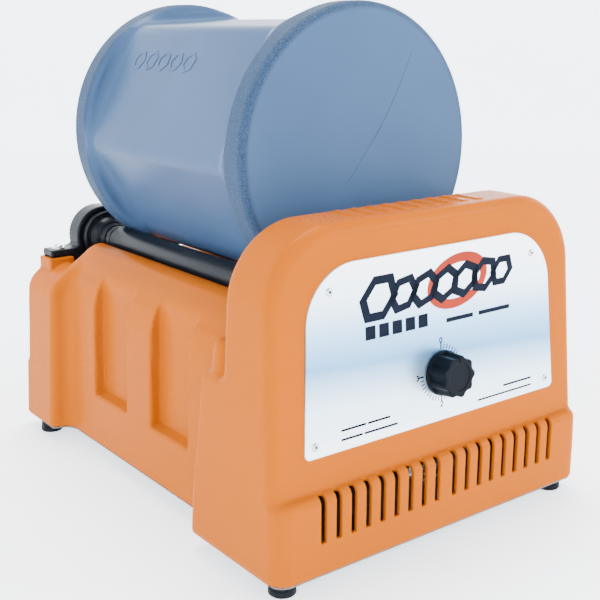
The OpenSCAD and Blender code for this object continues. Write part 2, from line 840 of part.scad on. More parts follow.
module drum_shell() {
    rear_rim = drum_back - rim_w;
    body_l = drum_l - 2 * rim_w;
    edge = 5;
    color(drum_blue) machine() difference() {
        union() {
            rim_disc(drum_y, rim_w, rim_r, edge);
            rim_disc(rear_rim, rim_w, rim_r, edge);
            hex_prism(drum_y + rim_w - overlap, body_l + 2 * overlap, hex_r, hex_round);
            rod(0, drum_back - overlap, drum_z, mouth_lip + overlap, mouth_r + 5);
        }
        rim_disc(drum_y + drum_wall, rim_w - 2 * drum_wall, rim_r - drum_wall, edge - 1);
        rim_disc(rear_rim + drum_wall, rim_w - 2 * drum_wall, rim_r - drum_wall, edge - 1);
        hex_prism(drum_y + rim_w - 2 * drum_wall, body_l + 4 * drum_wall,
            hex_r - drum_wall / cos(30), hex_round - drum_wall);
        rod(0, drum_back - 2 * drum_wall, drum_z, 3 * drum_wall, mouth_r);
    }
}

module drum_lid() {
    color("#4d6180") machine() difference() {
        union() {
            rod(0, lid_y, drum_z, lid_t, lid_r);
            rod(0, lid_y - 3, drum_z, 3 + eps, plug_r + 2.5);
            rod(0, lid_y - plug_l, drum_z, plug_l, plug_r - 5);
        }
        rod(0, lid_y - plug_l - overlap, drum_z, plug_l + 3, plug_r - 9);
        rod(0, lid_y - plug_l - overlap, drum_z, 40, stud_r + run_gap);
        for (k = [0:11]) translate([0, lid_y + lid_t - 1.5, drum_z]) rotate([0, 30 * k, 0])
            translate([38, 0, -1.5]) cube([20, 3, 3]);
    }
}

module lid_seal() {
    color("#1c1d1f") machine()
        rod(0, lid_y - plug_l, drum_z, plug_l - 3 - eps, plug_r + 3, bore = plug_r - 5);
}

module lid_clamp_plate() {
    color("#a9afb6") machine()
        rod(0, lid_y - plug_l - clamp_t - free_gap, drum_z, clamp_t, plug_r - 1, bore = stud_r);
}

module lid_stud() {
    y0 = lid_y - plug_l - clamp_t - free_gap - 3;
    color("silver") machine() {
        rod(0, y0, drum_z, 3, 8);
        rod(0, y0 + 3 - eps, drum_z, lid_knob_y + lid_knob_l - 4 - y0 - 3, stud_r);
    }
}

module lid_washer() {
    color("silver") machine() rod(0, lid_y + lid_t, drum_z, 1.2, 9, bore = stud_r + run_gap);
}

module lid_knob() {
    lobes = 6;
    r = 22;
    color(charcoal) machine() difference() {
        union() {
            rod(0, lid_knob_y, drum_z, 5, 12);
            rod(0, lid_knob_y + 5 - eps, drum_z, lid_knob_l - 5, r);
        }
        for (k = [0:lobes - 1]) let (a = 360 * k / lobes)
            rod((r + 5) * cos(a), lid_knob_y + 5, drum_z + (r + 5) * sin(a), lid_knob_l, 9.5);
        rod(0, lid_knob_y - overlap, drum_z, lid_knob_l - 2, stud_r + run_gap);
    }
}

// ---- Supply ----

module cord_gland() {
    bore = 3.75;
    color("#1c1d1f") machine() {
        rod(gland_x, housing_l, gland_z, gland_flange, 11, 10, bore = bore);
        rod(gland_x, housing_l - 14, gland_z, 14 + eps, gland_r, bore = bore);
    }
}

module gland_nut() {
    color("#1c1d1f") machine()
        translate([gland_x, housing_l - wall - 5, gland_z]) rotate([-90, 0, 0]) difference() {
        cylinder(h = 5, r = 11.5, $fn = 6);
        translate([0, 0, -overlap]) cylinder(h = 10, r = gland_r);
    }
}

module terminal_block() {
    color("#e6e3da") machine() difference() {
        translate([-108, 315, 0]) cube([32, 22, 18]);
        for (x = [-102, -92, -82]) translate([x, 326, 10]) cylinder(h = 9, r = 2.2);
        for (s = [-1, 1]) translate([-92 + s * 14, 326, -overlap]) cylinder(h = 8, r = 1.5);
    }
}

module timer_lead() color("#5a5c60") machine() lead(timer_route, lead_r);
module motor_lead() color("#5a5c60") machine() lead(motor_route, lead_r);

housing();
bottom_plate();
rubber_feet();
foot_washers();
foot_screws();
plate_screws();
control_panel();
panel_rivets();
timer_body();
timer_terminals();
timer_nut();
timer_shaft();
timer_knob();
motor_laminations();
motor_coil();
motor_bearing_brackets();
motor_bolts();
motor_mount();
motor_mount_screws();
rotor_core();
motor_shaft();
motor_pulley();
cooling_fan();
drive_belt();
driven_pulley();
pulley_set_screw();
drive_roller_shaft();
drive_roller_sleeve();
drive_roller_flange();
idler_roller_shaft();
idler_roller_sleeve();
idler_roller_flange();
front_bushes();
left_bearing_block();
right_bearing_block();
rear_bearings();
block_screws();
block_washers();
block_base_screws();
drum_shell();
drum_lid();
lid_seal();
lid_clamp_plate();
lid_stud();
lid_washer();
lid_knob();
cord_gland();
gland_nut();
terminal_block();
timer_lead();
motor_lead();
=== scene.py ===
"""Rotary tumbler: the looks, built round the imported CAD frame.

Shapes are distance fields in millimetres, in the machine's own frame: x across, y back from the front skirt,
z up from the housing's lower edge. field_mesh() meshes such a field and puts it in the row frame, in metres.
"""

import json
import math

import bmesh
import bpy
import numpy as np
import openvdb
from mathutils import Matrix, Vector


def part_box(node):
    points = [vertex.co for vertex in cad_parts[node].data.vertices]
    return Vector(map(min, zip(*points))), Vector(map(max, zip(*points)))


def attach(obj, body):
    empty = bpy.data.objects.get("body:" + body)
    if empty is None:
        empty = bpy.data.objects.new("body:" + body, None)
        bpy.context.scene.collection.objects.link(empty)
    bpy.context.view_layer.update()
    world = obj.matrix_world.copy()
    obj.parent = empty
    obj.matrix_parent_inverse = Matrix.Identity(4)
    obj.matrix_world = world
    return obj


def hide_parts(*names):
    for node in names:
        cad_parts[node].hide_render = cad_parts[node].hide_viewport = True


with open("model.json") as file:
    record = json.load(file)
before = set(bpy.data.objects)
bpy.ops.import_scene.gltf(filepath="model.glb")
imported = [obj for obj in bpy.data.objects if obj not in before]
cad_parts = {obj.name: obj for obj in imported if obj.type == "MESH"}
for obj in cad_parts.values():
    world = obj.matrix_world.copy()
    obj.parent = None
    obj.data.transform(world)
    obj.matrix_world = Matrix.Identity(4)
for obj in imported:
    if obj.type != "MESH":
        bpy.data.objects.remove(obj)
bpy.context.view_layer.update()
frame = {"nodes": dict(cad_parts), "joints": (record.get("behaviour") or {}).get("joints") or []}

# ---- Frame and sizes ----

MM = 0.001
housing_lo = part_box("housing")[0]
ORIGIN = np.array([0.0, housing_lo.y, housing_lo.z])
SQRT_HALF = math.sqrt(0.5)
HEX_FLAT = math.cos(math.pi / 6)


def span(node):
    """Lowest and highest corner of a CAD node in millimetres, in the machine's frame."""
    lo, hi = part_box(node)
    return (np.array(lo) - ORIGIN) / MM, (np.array(hi) - ORIGIN) / MM


def joint_place(name):
    """A point on a joint's axis, in millimetres in the machine's frame."""
    j = next(x for x in frame["joints"] if x["name"] == name)
    return (np.array(j["pos_m"]) - ORIGIN) / MM


HALF_W, HOUSING_L = span("housing")[1][:2]
WALL = 3.2
SKIRT_H = 55.0
SKIRT_CHAMFER = 4.0
SKIRT_CORNER_R = 12.0
TOWER_H = 222.0
TOWER_CORNER_R = 50.0
FACE_Y = 7.7
LEAN = 0.07
SIDE_DRAFT = 0.04
TOWER_STEP = 1.1
EDGE_R = 8.0
TOWER_LOW = 40.0
TOWER_REAR_Y = 67.5
TOWER_REAR_DRAFT = 0.031
BUTTRESS_H = 121.5
BUTTRESS_FRONT_Y = 30.0
BUTTRESS_SLOPE = 0.042
BASE_REAR_Y = 104.2
BASE_REAR_DRAFT = 0.1095
RIB_PITCH = 14.0
RIBS_PER_SIDE = 4
RIB_W = 6.0
RIB_Y = (32.0, 56.0)
RIB_TOP = TOWER_H + 0.9
SHOULDER_X, SHOULDER_Y = 126.3, 77.6
SHOULDER_Z = (112.5, 142.5)
SHOULDER_R = 13.4
SHOULDER_TAPER = 3.4
BED_HALF = 123.7
BED_FLOOR = 134.0
CREASE_Z = 133.0
RIDGE_Z = 158.0
RIDGE_X = 83.0
RIDGE_END_Y = 340.0
POST_HALF = 141.5
POST_DRAFT = 0.06
POST_Y = HOUSING_L - 55.0
REAR_STEP = 4.0
REAR_UPPER = HOUSING_L - REAR_STEP
REAR_SKIRT_H = 51.0
POST_CORNER_R = 20.0
PAD_X = (99.0, 122.0)
PAD_FRONT_Y = 364.0
PAD_TOP = 143.0
POCKETS = ((141.0, 194.5), (233.0, 287.0))
POCKET_Z = 42.0
POCKET_D = 8.0
POCKET_SLOPE = 0.45
SLOT_FIRST = 8.3
SLOT_PITCH = 12.5
SLOTS_PER_SIDE = 9
SLOT_W = 4.5
SLOT_LOW = 22.0
VENT_PITCH = 9.0
VENT_FIRST = -38.0
VENTS = 8
VENT_W = 4.0
VENT_Y = (236.0, 280.0)
GLAND_X, GLAND_Z = -95.0, 30.0
FOOT_POINTS = [(-130, 16), (130, 16), (-130, 365), (130, 365)]
PLATE_POINTS = [(-112, 150), (112, 150), (-112, 290), (112, 290)]
SCREW_POINTS = FOOT_POINTS[1::2] + PLATE_POINTS[1::2]

drum_lo, drum_hi = span("drum_shell")
AXIS_Z = joint_place("drum_spin")[2]
RIM_R = 103.9
RIM_W = 23.9
MOUTH_LIP = 4.0
DRUM_Y = drum_lo[1]
DRUM_BACK = drum_hi[1] - MOUTH_LIP
HEX_R = 103.5
HEX_ROUND = 16.0
HEX_TURN = math.radians(3)
DRUM_WALL = 4.0
MOUTH_R = 58.0

ROLLER_X = joint_place("drive_roller_spin")[0]
ROLLER_Z = joint_place("drive_roller_spin")[2]

# ---- Distance fields ----


def round_max(a, b, r):
    """Where both fields hold, with the edge between them rounded to radius r."""
    return np.minimum(np.maximum(a, b), -r) + np.hypot(np.maximum(a + r, 0), np.maximum(b + r, 0))


def round_min(a, b, r):
    """Where either field holds, with a fillet of radius r between them."""
    return -round_max(-a, -b, r)


def between(v, lo, hi):
    """Where v lies from lo to hi."""
    return np.maximum(lo - v, v - hi)


def capped(v, radius, y, y0, y1, edge):
    """A round bar of that radius from y0 to y1, with rounded ends; v is the distance from its axis."""
    return round_max(v - radius, between(y, y0, y1), edge)


def side_half(z):
    """The half width of the skirt and tower at height z."""
    return np.minimum(HALF_W, HALF_W - TOWER_STEP - SIDE_DRAFT * (z - SKIRT_H))


def bed_half(z):
    """The half width of the bed at height z."""
    return BED_HALF - SIDE_DRAFT * z


def post_half(z):
    """The half width of the rear post at height z."""
    return POST_HALF - POST_DRAFT * z


def face_y(z):
    """The place of the leaning front face at height z."""
    return FACE_Y + LEAN * (z - SKIRT_H)


def base_rear(y, z):
    """In front of the leaning plane where the tower's base meets the bed."""
    return y - BASE_REAR_Y + BASE_REAR_DRAFT * z


def tower_field(x, y, z):
    """The leaning tower with its round shoulders, and the lower buttress behind it."""
    outline = round_max(x - side_half(z), z - TOWER_H, TOWER_CORNER_R)
    rear = y - TOWER_REAR_Y + TOWER_REAR_DRAFT * (z - BUTTRESS_H)
    slab = round_max(outline, np.maximum(face_y(z) - y, rear), EDGE_R)
    step_top = z - BUTTRESS_H + BUTTRESS_SLOPE * (y - TOWER_REAR_Y)
    step = round_max(np.maximum(BUTTRESS_FRONT_Y - y, base_rear(y, z)), step_top, 5)
    buttress = round_max(outline, step, 5)
    return np.maximum(round_min(slab, buttress, 4), TOWER_LOW - z)


def skirt_field(x, y, z):
    """The skirt under the tower, with a chamfer along its top."""
    plan = round_max(x - side_half(z), -y, SKIRT_CORNER_R)
    top = z - SKIRT_H
    body = round_max(plan, top, 1.5)
    body = round_max(body, (plan + top + SKIRT_CHAMFER) * SQRT_HALF, 2)
    return round_max(body, base_rear(y, z), 4)


def pocket_field(x, y, z):
    """The two pockets cut into the bed's side wall, whose lower edge slopes inwards and up."""
    low = (POCKET_Z + POCKET_SLOPE * (bed_half(z) - x) - z) / 1.1
    floor = bed_half(z) - POCKET_D - x
    both = [round_max(round_max(between(y, y0, y1), floor, 2.5), low, 2) for y0, y1 in POCKETS]
    return np.minimum(both[0], both[1])


def bed_field(x, y, z):
    """The bed behind the tower: a floor, a ridge along each side, and the pockets."""
    slope = (x + z - bed_half(CREASE_Z) - CREASE_Z) * SQRT_HALF
    outer = round_max(x - bed_half(z), slope, 14)
    ridge = round_max(round_max(outer, z - RIDGE_Z, 4), RIDGE_X - x, 3)
    end_run, end_drop = 25 / 27.73, 12 / 27.73
    ridge = round_max(ridge, (y - RIDGE_END_Y) * end_run + (z - RIDGE_Z - 1) * end_drop, 4)
    body = round_min(round_max(outer, z - BED_FLOOR, 2), ridge, 5)
    body = round_max(body, -pocket_field(x, y, z), 2.2)
    return np.maximum(body, between(y, 60, REAR_UPPER - 6))


def post_field(x, y, z):
    """The rear post, with the deeper step low on its rear."""
    outline = round_max(x - post_half(z), z - BED_FLOOR, POST_CORNER_R)
    body = round_max(round_max(outline, POST_Y - y, 6), y - REAR_UPPER, 2.5)
    step = round_max(x - post_half(z), y - HOUSING_L, 3)
    step = round_max(step, (y - REAR_UPPER + z - REAR_SKIRT_H) * SQRT_HALF, 1.5)
    step = np.maximum(step, HOUSING_L - 20 - y)
    return np.maximum(round_min(body, step, 1.5), x - post_half(z))


def shell_outside(x, y, z):
    """The housing's outer shape for x at least 0."""
    body = round_min(tower_field(x, y, z), skirt_field(x, y, z), 2.5)
    body = np.maximum(body, x - side_half(z))
    body = round_min(body, bed_field(x, y, z), 6)
    # The bed meets the post in a wide fillet at its sides, and in a nearly sharp corner further in.
    fillet = 0.5 + 13.5 * np.clip((x - 95) / 10, 0, 1)
    body = round_min(body, post_field(x, y, z), fillet)
    pad = round_max(between(x, *PAD_X), between(y, PAD_FRONT_Y, REAR_UPPER), 2)
    body = round_min(body, np.maximum(round_max(pad, z - PAD_TOP, 1), BED_FLOOR - 10 - z), 1.5)
    low, high = SHOULDER_Z
    shoulder_r = SHOULDER_R - SHOULDER_TAPER * (z - low) / (high - low)
    side = (np.hypot(x - SHOULDER_X, y - SHOULDER_Y) - shoulder_r) * 0.99
    return round_min(body, round_max(side, between(z, low, high), 5), 2.5)


def nearest(v, pitch, lowest, highest):
    """The distance from the nearest of the places pitch apart, numbered from lowest to highest."""
    return v - pitch * np.clip(np.round(v / pitch), lowest, highest)


def housing_field(x, y, z):
    """The whole housing: a hollow shell with its roof ribs, screw bosses, front slots and cord hole."""
    ax = np.abs(x)
    body = shell_outside(ax, y, z)
    rib_x = nearest(ax, RIB_PITCH, 0, RIBS_PER_SIDE)
    rib = round_max(np.abs(rib_x) - RIB_W / 2, between(y, *RIB_Y), 1)
    rib = round_max(rib, between(z, 215, RIB_TOP), 0.6)
    # The wall is thicker in front of the post, where the bed's fillet would leave a hole in a thin one.
    wall = WALL + 2.5 * np.clip(1 - np.abs(y - POST_Y + 6) / 14, 0, 1)
    shell = np.maximum(round_min(body, rib, 0.5), -(body + wall))
    for px, py in SCREW_POINTS:
        boss = np.maximum(np.hypot(ax - px, y - py) - 5.5, z - 20)
        shell = np.minimum(shell, boss)
    slot_x = nearest(ax - SLOT_FIRST, SLOT_PITCH, 0, SLOTS_PER_SIDE - 1)
    slot = round_max(np.abs(slot_x) - SLOT_W / 2, z - SKIRT_H - 0.4, SLOT_W / 2 - 0.05)
    slot = round_max(round_max(slot, SLOT_LOW - z, 1), y - 6.6, 2)
    shell = round_max(shell, -slot, 0.7)
    shell = np.maximum(shell, -np.maximum(np.hypot(x - GLAND_X, z - GLAND_Z) - 8, 370 - y))
    return round_max(shell, -z, 0.5)


def fold(angle, count):
    """The angle from the middle of its own sector, where count sectors make a turn."""
    sector = 2 * math.pi / count
    return angle - np.round(angle / sector) * sector


def hexagon(px, pz, apothem, corner):
    """A regular hexagon whose corners are rounded to that radius, one of them HEX_TURN above level."""
    inner = apothem - corner
    half = math.pi / 6
    angle = fold(np.arctan2(pz, px) - HEX_TURN - half, 6)
    r = np.hypot(px, pz)
    out, along = r * np.cos(angle), np.abs(r * np.sin(angle))
    beyond = np.maximum(along - inner * math.tan(half), 0)
    return np.where(out > inner, np.hypot(np.maximum(out - inner, 0), beyond), out - inner) - corner


def drum_field(x, y, z):
    """The hollow drum: a rim at each end, the six-sided barrel between them, and the mouth's neck."""
    pz = z - AXIS_Z
    r = np.hypot(x, pz)
    front = capped(r, RIM_R, y, DRUM_Y, DRUM_Y + RIM_W, 6)
    rear = capped(r, RIM_R, y, DRUM_BACK - RIM_W, DRUM_BACK, 6)
    barrel = hexagon(x, pz, HEX_R * HEX_FLAT, HEX_ROUND)
    barrel = np.maximum(barrel, between(y, DRUM_Y + RIM_W - 4, DRUM_BACK - RIM_W + 4))
    core = round_min(round_min(front, barrel, 9), rear, 9)
    core = np.maximum(core, r - RIM_R)
    neck = capped(r, MOUTH_R + 5, y, DRUM_BACK - 6, DRUM_BACK + MOUTH_LIP, 1.5)
    shell = np.maximum(round_min(core, neck, 2.5), -(core + DRUM_WALL))
    mouth = np.maximum(r - MOUTH_R, DRUM_BACK - 12 - y)
    return round_max(shell, -mouth, 1.2)


# ---- Meshing ----

SLOPE_STEP = 0.03
CREASE_COS = 0.72


def axis(lo, hi, step, fine=()):
    """Sample places from lo to hi, step apart, and closer where fine says so: (from, to, step)."""
    places = [lo - 2 * step]
    while places[-1] < hi + 2 * step:
        near = [s for a, b, s in fine if a <= places[-1] < b]
        places.append(places[-1] + (min(near) if near else step))
    return np.array(places, np.float32)


def gradient(field, p):
    """The field's value and gradient at the points p."""
    h = SLOPE_STEP
    value = field(*p.T)
    slope = np.empty_like(p)
    for k in range(3):
        step = np.zeros(3)
        step[k] = h
        slope[:, k] = (field(*(p + step).T) - field(*(p - step).T)) / (2 * h)
    return value, slope


def decimated(points, faces, target):
    """The mesh with no more than about target triangles."""
    me = bpy.data.meshes.new("raw")
    me.from_pydata(points.tolist(), [], faces.tolist())
    o = bpy.data.objects.new("raw", me)
    bpy.context.scene.collection.objects.link(o)
    mod = o.modifiers.new("fewer", "DECIMATE")
    mod.ratio = min(1.0, target / (2 * len(faces)))
    made = bpy.data.meshes.new_from_object(o.evaluated_get(bpy.context.evaluated_depsgraph_get()))
    bpy.data.objects.remove(o)
    bpy.data.meshes.remove(me)
    return made


def vectors_of(items, name):
    """That vector of every item of a mesh, one row for each."""
    values = np.empty(len(items) * 3, np.float32)
    items.foreach_get(name, values)
    return values.reshape(-1, 3)


def numbers_of(items, name):
    """That whole number of every item of a mesh."""
    values = np.empty(len(items), np.int32)
    items.foreach_get(name, values)
    return values


def make_smooth(me):
    me.polygons.foreach_set("use_smooth", np.ones(len(me.polygons), bool))


def shade(me, normals):
    """Smooth shading from the field's own normals, and the face's normal where a sharp edge is."""
    make_smooth(me)
    flat = np.repeat(vectors_of(me.polygons, "normal"), numbers_of(me.polygons, "loop_total"), axis=0)
    smooth = normals[numbers_of(me.loops, "vertex_index")]
    keep = (flat * smooth).sum(1) > CREASE_COS
    me.normals_split_custom_set(np.where(keep[:, None], smooth, flat).tolist())


def add(name, me, material, body, nodes=()):
    """A new piece from a mesh in the row frame, riding on a body, with the CAD nodes it stands in for hidden.
    """
    me.name = name
    o = bpy.data.objects.new(name, me)
    bpy.context.scene.collection.objects.link(o)
    me.materials.clear()
    me.materials.append(material)
    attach(o, body)
    if nodes:
        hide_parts(*nodes)


def field_mesh(field, xs, ys, zs, target=190000, place=None):
    """Meshes the zero surface of a field sampled on the three axes, with every vertex moved onto it.

    The mesh has about target triangles, and stands at place if one is given.
    """
    values = field(xs[:, None, None], ys[None, :, None], zs[None, None, :])
    grid = openvdb.FloatGrid(3.0)
    grid.copyFromArray(np.array(values, np.float32))
    points, _, quads = grid.convertToPolygons(isovalue=0.0)
    index = [np.arange(len(a)) for a in (xs, ys, zs)]
    p = np.stack([np.interp(points[:, k], index[k], a) for k, a in enumerate((xs, ys, zs))], 1)
    me = decimated(p, quads[:, ::-1], target)
    p = vectors_of(me.vertices, "co").astype(float)
    for _ in range(4):
        value, slope = gradient(field, p)
        step = (value / np.maximum((slope**2).sum(1), 0.2))[:, None] * slope
        length = np.linalg.norm(step, axis=1, keepdims=True)
        p = p - step * np.minimum(1, 0.7 / np.maximum(length, 1e-9))
    normals = gradient(field, p)[1]
    normals /= np.maximum(np.linalg.norm(normals, axis=1, keepdims=True), 1e-9)
    if place is not None:
        p = p @ np.array(place.to_3x3()).T + np.array(place.translation)
        normals = normals @ np.array(place.to_3x3()).T
    p = p * MM + ORIGIN
    me.vertices.foreach_set("co", p.astype(np.float32).ravel())
    me.update()
    first = numbers_of(me.loops, "vertex_index")[numbers_of(me.polygons, "loop_start")]
    if (vectors_of(me.polygons, "normal") * normals[first]).sum() < 0:
        me.flip_normals()
    shade(me, normals)
    return me


# ---- Turned and flat pieces ----


def solid_mesh(name, verts, faces, crease):
    """A mesh in the row frame from points in machine millimetres, smooth up to that angle in degrees."""
    me = bpy.data.meshes.new(name)
    me.from_pydata([tuple(np.array(v) * MM + ORIGIN) for v in verts], [], faces)
    bm = bmesh.new()
    bm.from_mesh(me)
    bmesh.ops.remove_doubles(bm, verts=bm.verts, dist=1e-6)
    bmesh.ops.recalc_face_normals(bm, faces=bm.faces)
    bm.to_mesh(me)
    bm.free()
    make_smooth(me)
    me.set_sharp_from_angle(angle=math.radians(crease))
    return me


def turned_mesh(profile, places, sides=96):
    """Rings turned about +Y from a closed profile of (radius, y) points, one copy for each 4x4 place."""
    verts, faces = [], []
    for place in places:
        rings = []
        for r, y in profile:
            if r < 1e-6:
                rings.append([len(verts)] * sides)
                verts.append(place @ Vector((0, y, 0)))
                continue
            rings.append(list(range(len(verts), len(verts) + sides)))
            for k in range(sides):
                a = 2 * math.pi * k / sides
                verts.append(place @ Vector((r * math.cos(a), y, r * math.sin(a))))
        for a, b in zip(rings, rings[1:] + rings[:1]):
            for k in range(sides):
                j = (k + 1) % sides
                ring = [a[k], a[j], b[j], b[k]]
                face = [v for i, v in enumerate(ring) if v not in ring[:i]]
                if len(face) > 2:
                    faces.append(face)
    return solid_mesh("turned", verts, faces, 35)


def rounded(points, radii, steps=5):
    """A profile whose corners are cut to arcs of the given radii; a radius of 0 keeps the corner."""
    out = []
    count = len(points)
    for i, (p, r) in enumerate(zip(points, radii)):
        p = Vector(p)
        if r <= 0:
            out.append(tuple(p))
            continue
        a = (Vector(points[i - 1]) - p).normalized()
        b = (Vector(points[(i + 1) % count]) - p).normalized()
        half = a.angle(b) / 2
        reach = r / math.tan(half)
        centre = p + (a + b).normalized() * (r / math.sin(half))
        start = p + a * reach - centre
        end = p + b * reach - centre
        for k in range(steps + 1):
            t = k / steps
            arm = start.lerp(end, t)
            out.append(tuple(centre + arm.normalized() * r))
    return out


def at(x, y, z):
    return Matrix.Translation((x, y, z))


face_tilt = Matrix.Rotation(-math.atan(LEAN), 4, "X")
on_face = at(0, FACE_Y, SKIRT_H) @ face_tilt
PANEL_T = 1.2


def face_spot(u, v, out=0.0):
    """The place on the leaning face u across and v up the slope, standing out of it; +Y points inwards."""
    return on_face @ at(u, -out, v)


def slab_mesh(outline, place, out0, out1, bevel):
    """A flat slab with a bevelled front edge, from a convex outline of (u, v) points."""
    loops = [(outline, out0), (outline, out1 - bevel), (inset(outline, bevel), out1)]
    verts, faces = [], []
    n = len(outline)
    for points, out in loops:
        verts += [place @ Vector((u, -out, v)) for u, v in points]
    for a in range(0, (len(loops) - 1) * n, n):
        b = a + n
        faces += [[a + i, a + (i + 1) % n, b + (i + 1) % n, b + i] for i in range(n)]
    faces += [list(range(n)), list(range((len(loops) - 1) * n, len(loops) * n))]
    return solid_mesh("slab", verts, faces, 30)


def inset(outline, d):
    """A convex outline moved inwards by d."""
    pts = [Vector(p) for p in outline]
    centre = sum(pts, Vector((0, 0))) / len(pts)
    out = []
    for i, p in enumerate(pts):
        a, b = (p - pts[i - 1]).normalized(), (pts[(i + 1) % len(pts)] - p).normalized()
        normal = Vector((-(a + b).y, (a + b).x)).normalized()
        if normal.dot(centre - p) < 0:
            normal = -normal
        out.append(tuple(p + normal * d))
    return out


def ribbon(verts, faces, place, path, width, out0, out1, closed, shear):
    """Adds a printed or raised line of that width along a path of (u, v) points, as a closed solid."""
    pts = [Vector(p) for p in path]
    n = len(pts)
    start = len(verts)
    for i, p in enumerate(pts):
        before = pts[i - 1] if closed or i else p
        after = pts[(i + 1) % n] if closed or i < n - 1 else p
        a, b = (p - before).normalized(), (after - p).normalized()
        along = (a + b).normalized()
        side = Vector((-along.y, along.x))
        stretch = 1 / max(0.5, side.dot(Vector((-b.y, b.x)) if b.length else Vector((-a.y, a.x))))
        for s, out in ((-1, out0), (1, out0), (1, out1), (-1, out1)):
            q = p + side * (s * width / 2 * stretch)
            verts.append(place @ Vector((q.x + shear * q.y, -out, q.y)))
    last = n if closed else n - 1
    for i in range(last):
        a, b = start + 4 * i, start + 4 * ((i + 1) % n)
        faces += [[a + k, a + (k + 1) % 4, b + (k + 1) % 4, b + k] for k in range(4)]
    if not closed:
        faces += [[start + k for k in range(4)], [start + 4 * (n - 1) + k for k in range(4)]]


def ribbons_mesh(lines, place, out0, out1):
    """One mesh of several ribbons. Each line has a path and a width, and may have closed, shear, u and v."""
    verts, faces = [], []
    for line in lines:
        spot = place @ at(line.get("u", 0), 0, line.get("v", 0))
        closed, shear = line.get("closed", False), line.get("shear", 0)
        ribbon(verts, faces, spot, line["path"], line["width"], out0, out1, closed, shear)
    return solid_mesh("lines", verts, faces, 30)


def arc_path(cx, cy, rx, ry, start, end, steps):
    """Points on an ellipse's arc, from one angle in degrees to the other."""
    turns = [math.radians(start + (end - start) * k / steps) for k in range(steps + 1)]
    return [(cx + rx * math.cos(a), cy + ry * math.sin(a)) for a in turns]


def hexagon_path(radius, turn):
    """A hexagon's corners, the first of them turn degrees above level."""
    turns = [math.radians(60 * k + turn) for k in range(6)]
    return [(radius * math.cos(a), radius * math.sin(a)) for a in turns]


# ---- Materials ----


def node(tree, kind, **inputs):
    n = tree.nodes.new(kind)
    for key, value in inputs.items():
        n.inputs[key.replace("_", " ")].default_value = value
    return n


def new_material(name, color, rough, metallic=0.0, specular=0.5, tinted=(1, 1, 1)):
    mat = bpy.data.materials.new(name)
    mat.use_nodes = True
    tree = mat.node_tree
    shader = tree.nodes["Principled BSDF"]
    shader.inputs["Base Color"].default_value = (*color, 1)
    shader.inputs["Roughness"].default_value = rough
    shader.inputs["Metallic"].default_value = metallic
    shader.inputs["Specular IOR Level"].default_value = specular
    shader.inputs["Specular Tint"].default_value = (*tinted, 1)
    return mat, tree, shader


def spots(tree, scale, detail=2.0, stretch=(1, 1, 1)):
    """Noise over the piece's own coordinates, in cells per metre."""
    coords = tree.nodes.new("ShaderNodeTexCoord")
    mapping = node(tree, "ShaderNodeMapping")
    mapping.inputs["Scale"].default_value = stretch
    noise = node(tree, "ShaderNodeTexNoise", Scale=scale, Detail=detail)
    tree.links.new(coords.outputs["Object"], mapping.inputs["Vector"])
    tree.links.new(mapping.outputs["Vector"], noise.inputs["Vector"])
    return noise.outputs["Fac"]


def ramp(tree, fac, stops):
    """A colour ramp with a (place, colour) pair for each stop."""
    r = tree.nodes.new("ShaderNodeValToRGB")
    while len(r.color_ramp.elements) < len(stops):
        r.color_ramp.elements.new(0.5)
    for element, (place, color) in zip(r.color_ramp.elements, stops):
        element.position = place
        element.color = (*color, 1)
    tree.links.new(fac, r.inputs["Fac"])
    return r.outputs["Color"]


def spread(tree, fac, lo, hi, from_lo=0.3, from_hi=0.7):
    """Maps from_lo to lo and from_hi to hi, with no value past either end."""
    m = tree.nodes.new("ShaderNodeMapRange")
    for key, value in (("From Min", from_lo), ("From Max", from_hi), ("To Min", lo), ("To Max", hi)):
        m.inputs[key].default_value = value
    tree.links.new(fac, m.inputs["Value"])
    return m.outputs["Result"]


def bump(tree, shader, height, distance):
    b = node(tree, "ShaderNodeBump", Strength=1.0, Distance=distance)
    tree.links.new(height, b.inputs["Height"])
    tree.links.new(b.outputs["Normal"], shader.inputs["Normal"])


def tint(color, factor):
    return tuple(min(1.0, c * factor) for c in color)


def drifting(tree, fac, color, low, high):
    """The colour between low and high times its own brightness, as fac goes from 0.3 to 0.7."""
    return ramp(tree, fac, [(0.3, tint(color, low)), (0.7, tint(color, high))])


def moulded(name, color, rough, grain=900, vary=0.06, **more):
    """Moulded plastic or rubber: a slow drift of colour, and a fine grain in gloss and height."""
    mat, tree, shader = new_material(name, color, rough, **more)
    drift = drifting(tree, spots(tree, 9, 3), color, 1 - vary, 1 + vary)
    tree.links.new(drift, shader.inputs["Base Color"])
    fine = spots(tree, grain, 3)
    tree.links.new(spread(tree, fine, rough * 0.88, rough * 1.14), shader.inputs["Roughness"])
    bump(tree, shader, fine, 0.00002)
    return mat


def metal(name, color, rough, stretch=(1, 1, 1), scale=700):
    """Worked metal whose tool marks run along the axis that stretch makes long."""
    mat, tree, shader = new_material(name, color, rough, metallic=1.0)
    marks = spots(tree, scale, 2, stretch)
    tree.links.new(spread(tree, marks, rough * 0.75, rough * 1.3), shader.inputs["Roughness"])
    tree.links.new(drifting(tree, marks, color, 0.88, 1.06), shader.inputs["Base Color"])
    bump(tree, shader, marks, 0.00001)
    return mat


def math_node(tree, kind, a, b=None):
    m = tree.nodes.new("ShaderNodeMath")
    m.operation = kind
    for k, value in enumerate((a, b)):
        if value is None:
            continue
        if isinstance(value, (int, float)):
            m.inputs[k].default_value = value
        else:
            tree.links.new(value, m.inputs[k])
    return m.outputs["Value"]


def hypot_node(tree, a, b):
    """The length of the vector (a, b)."""
    squares = [math_node(tree, "POWER", v, 2) for v in (a, b)]
    return math_node(tree, "SQRT", math_node(tree, "ADD", *squares))


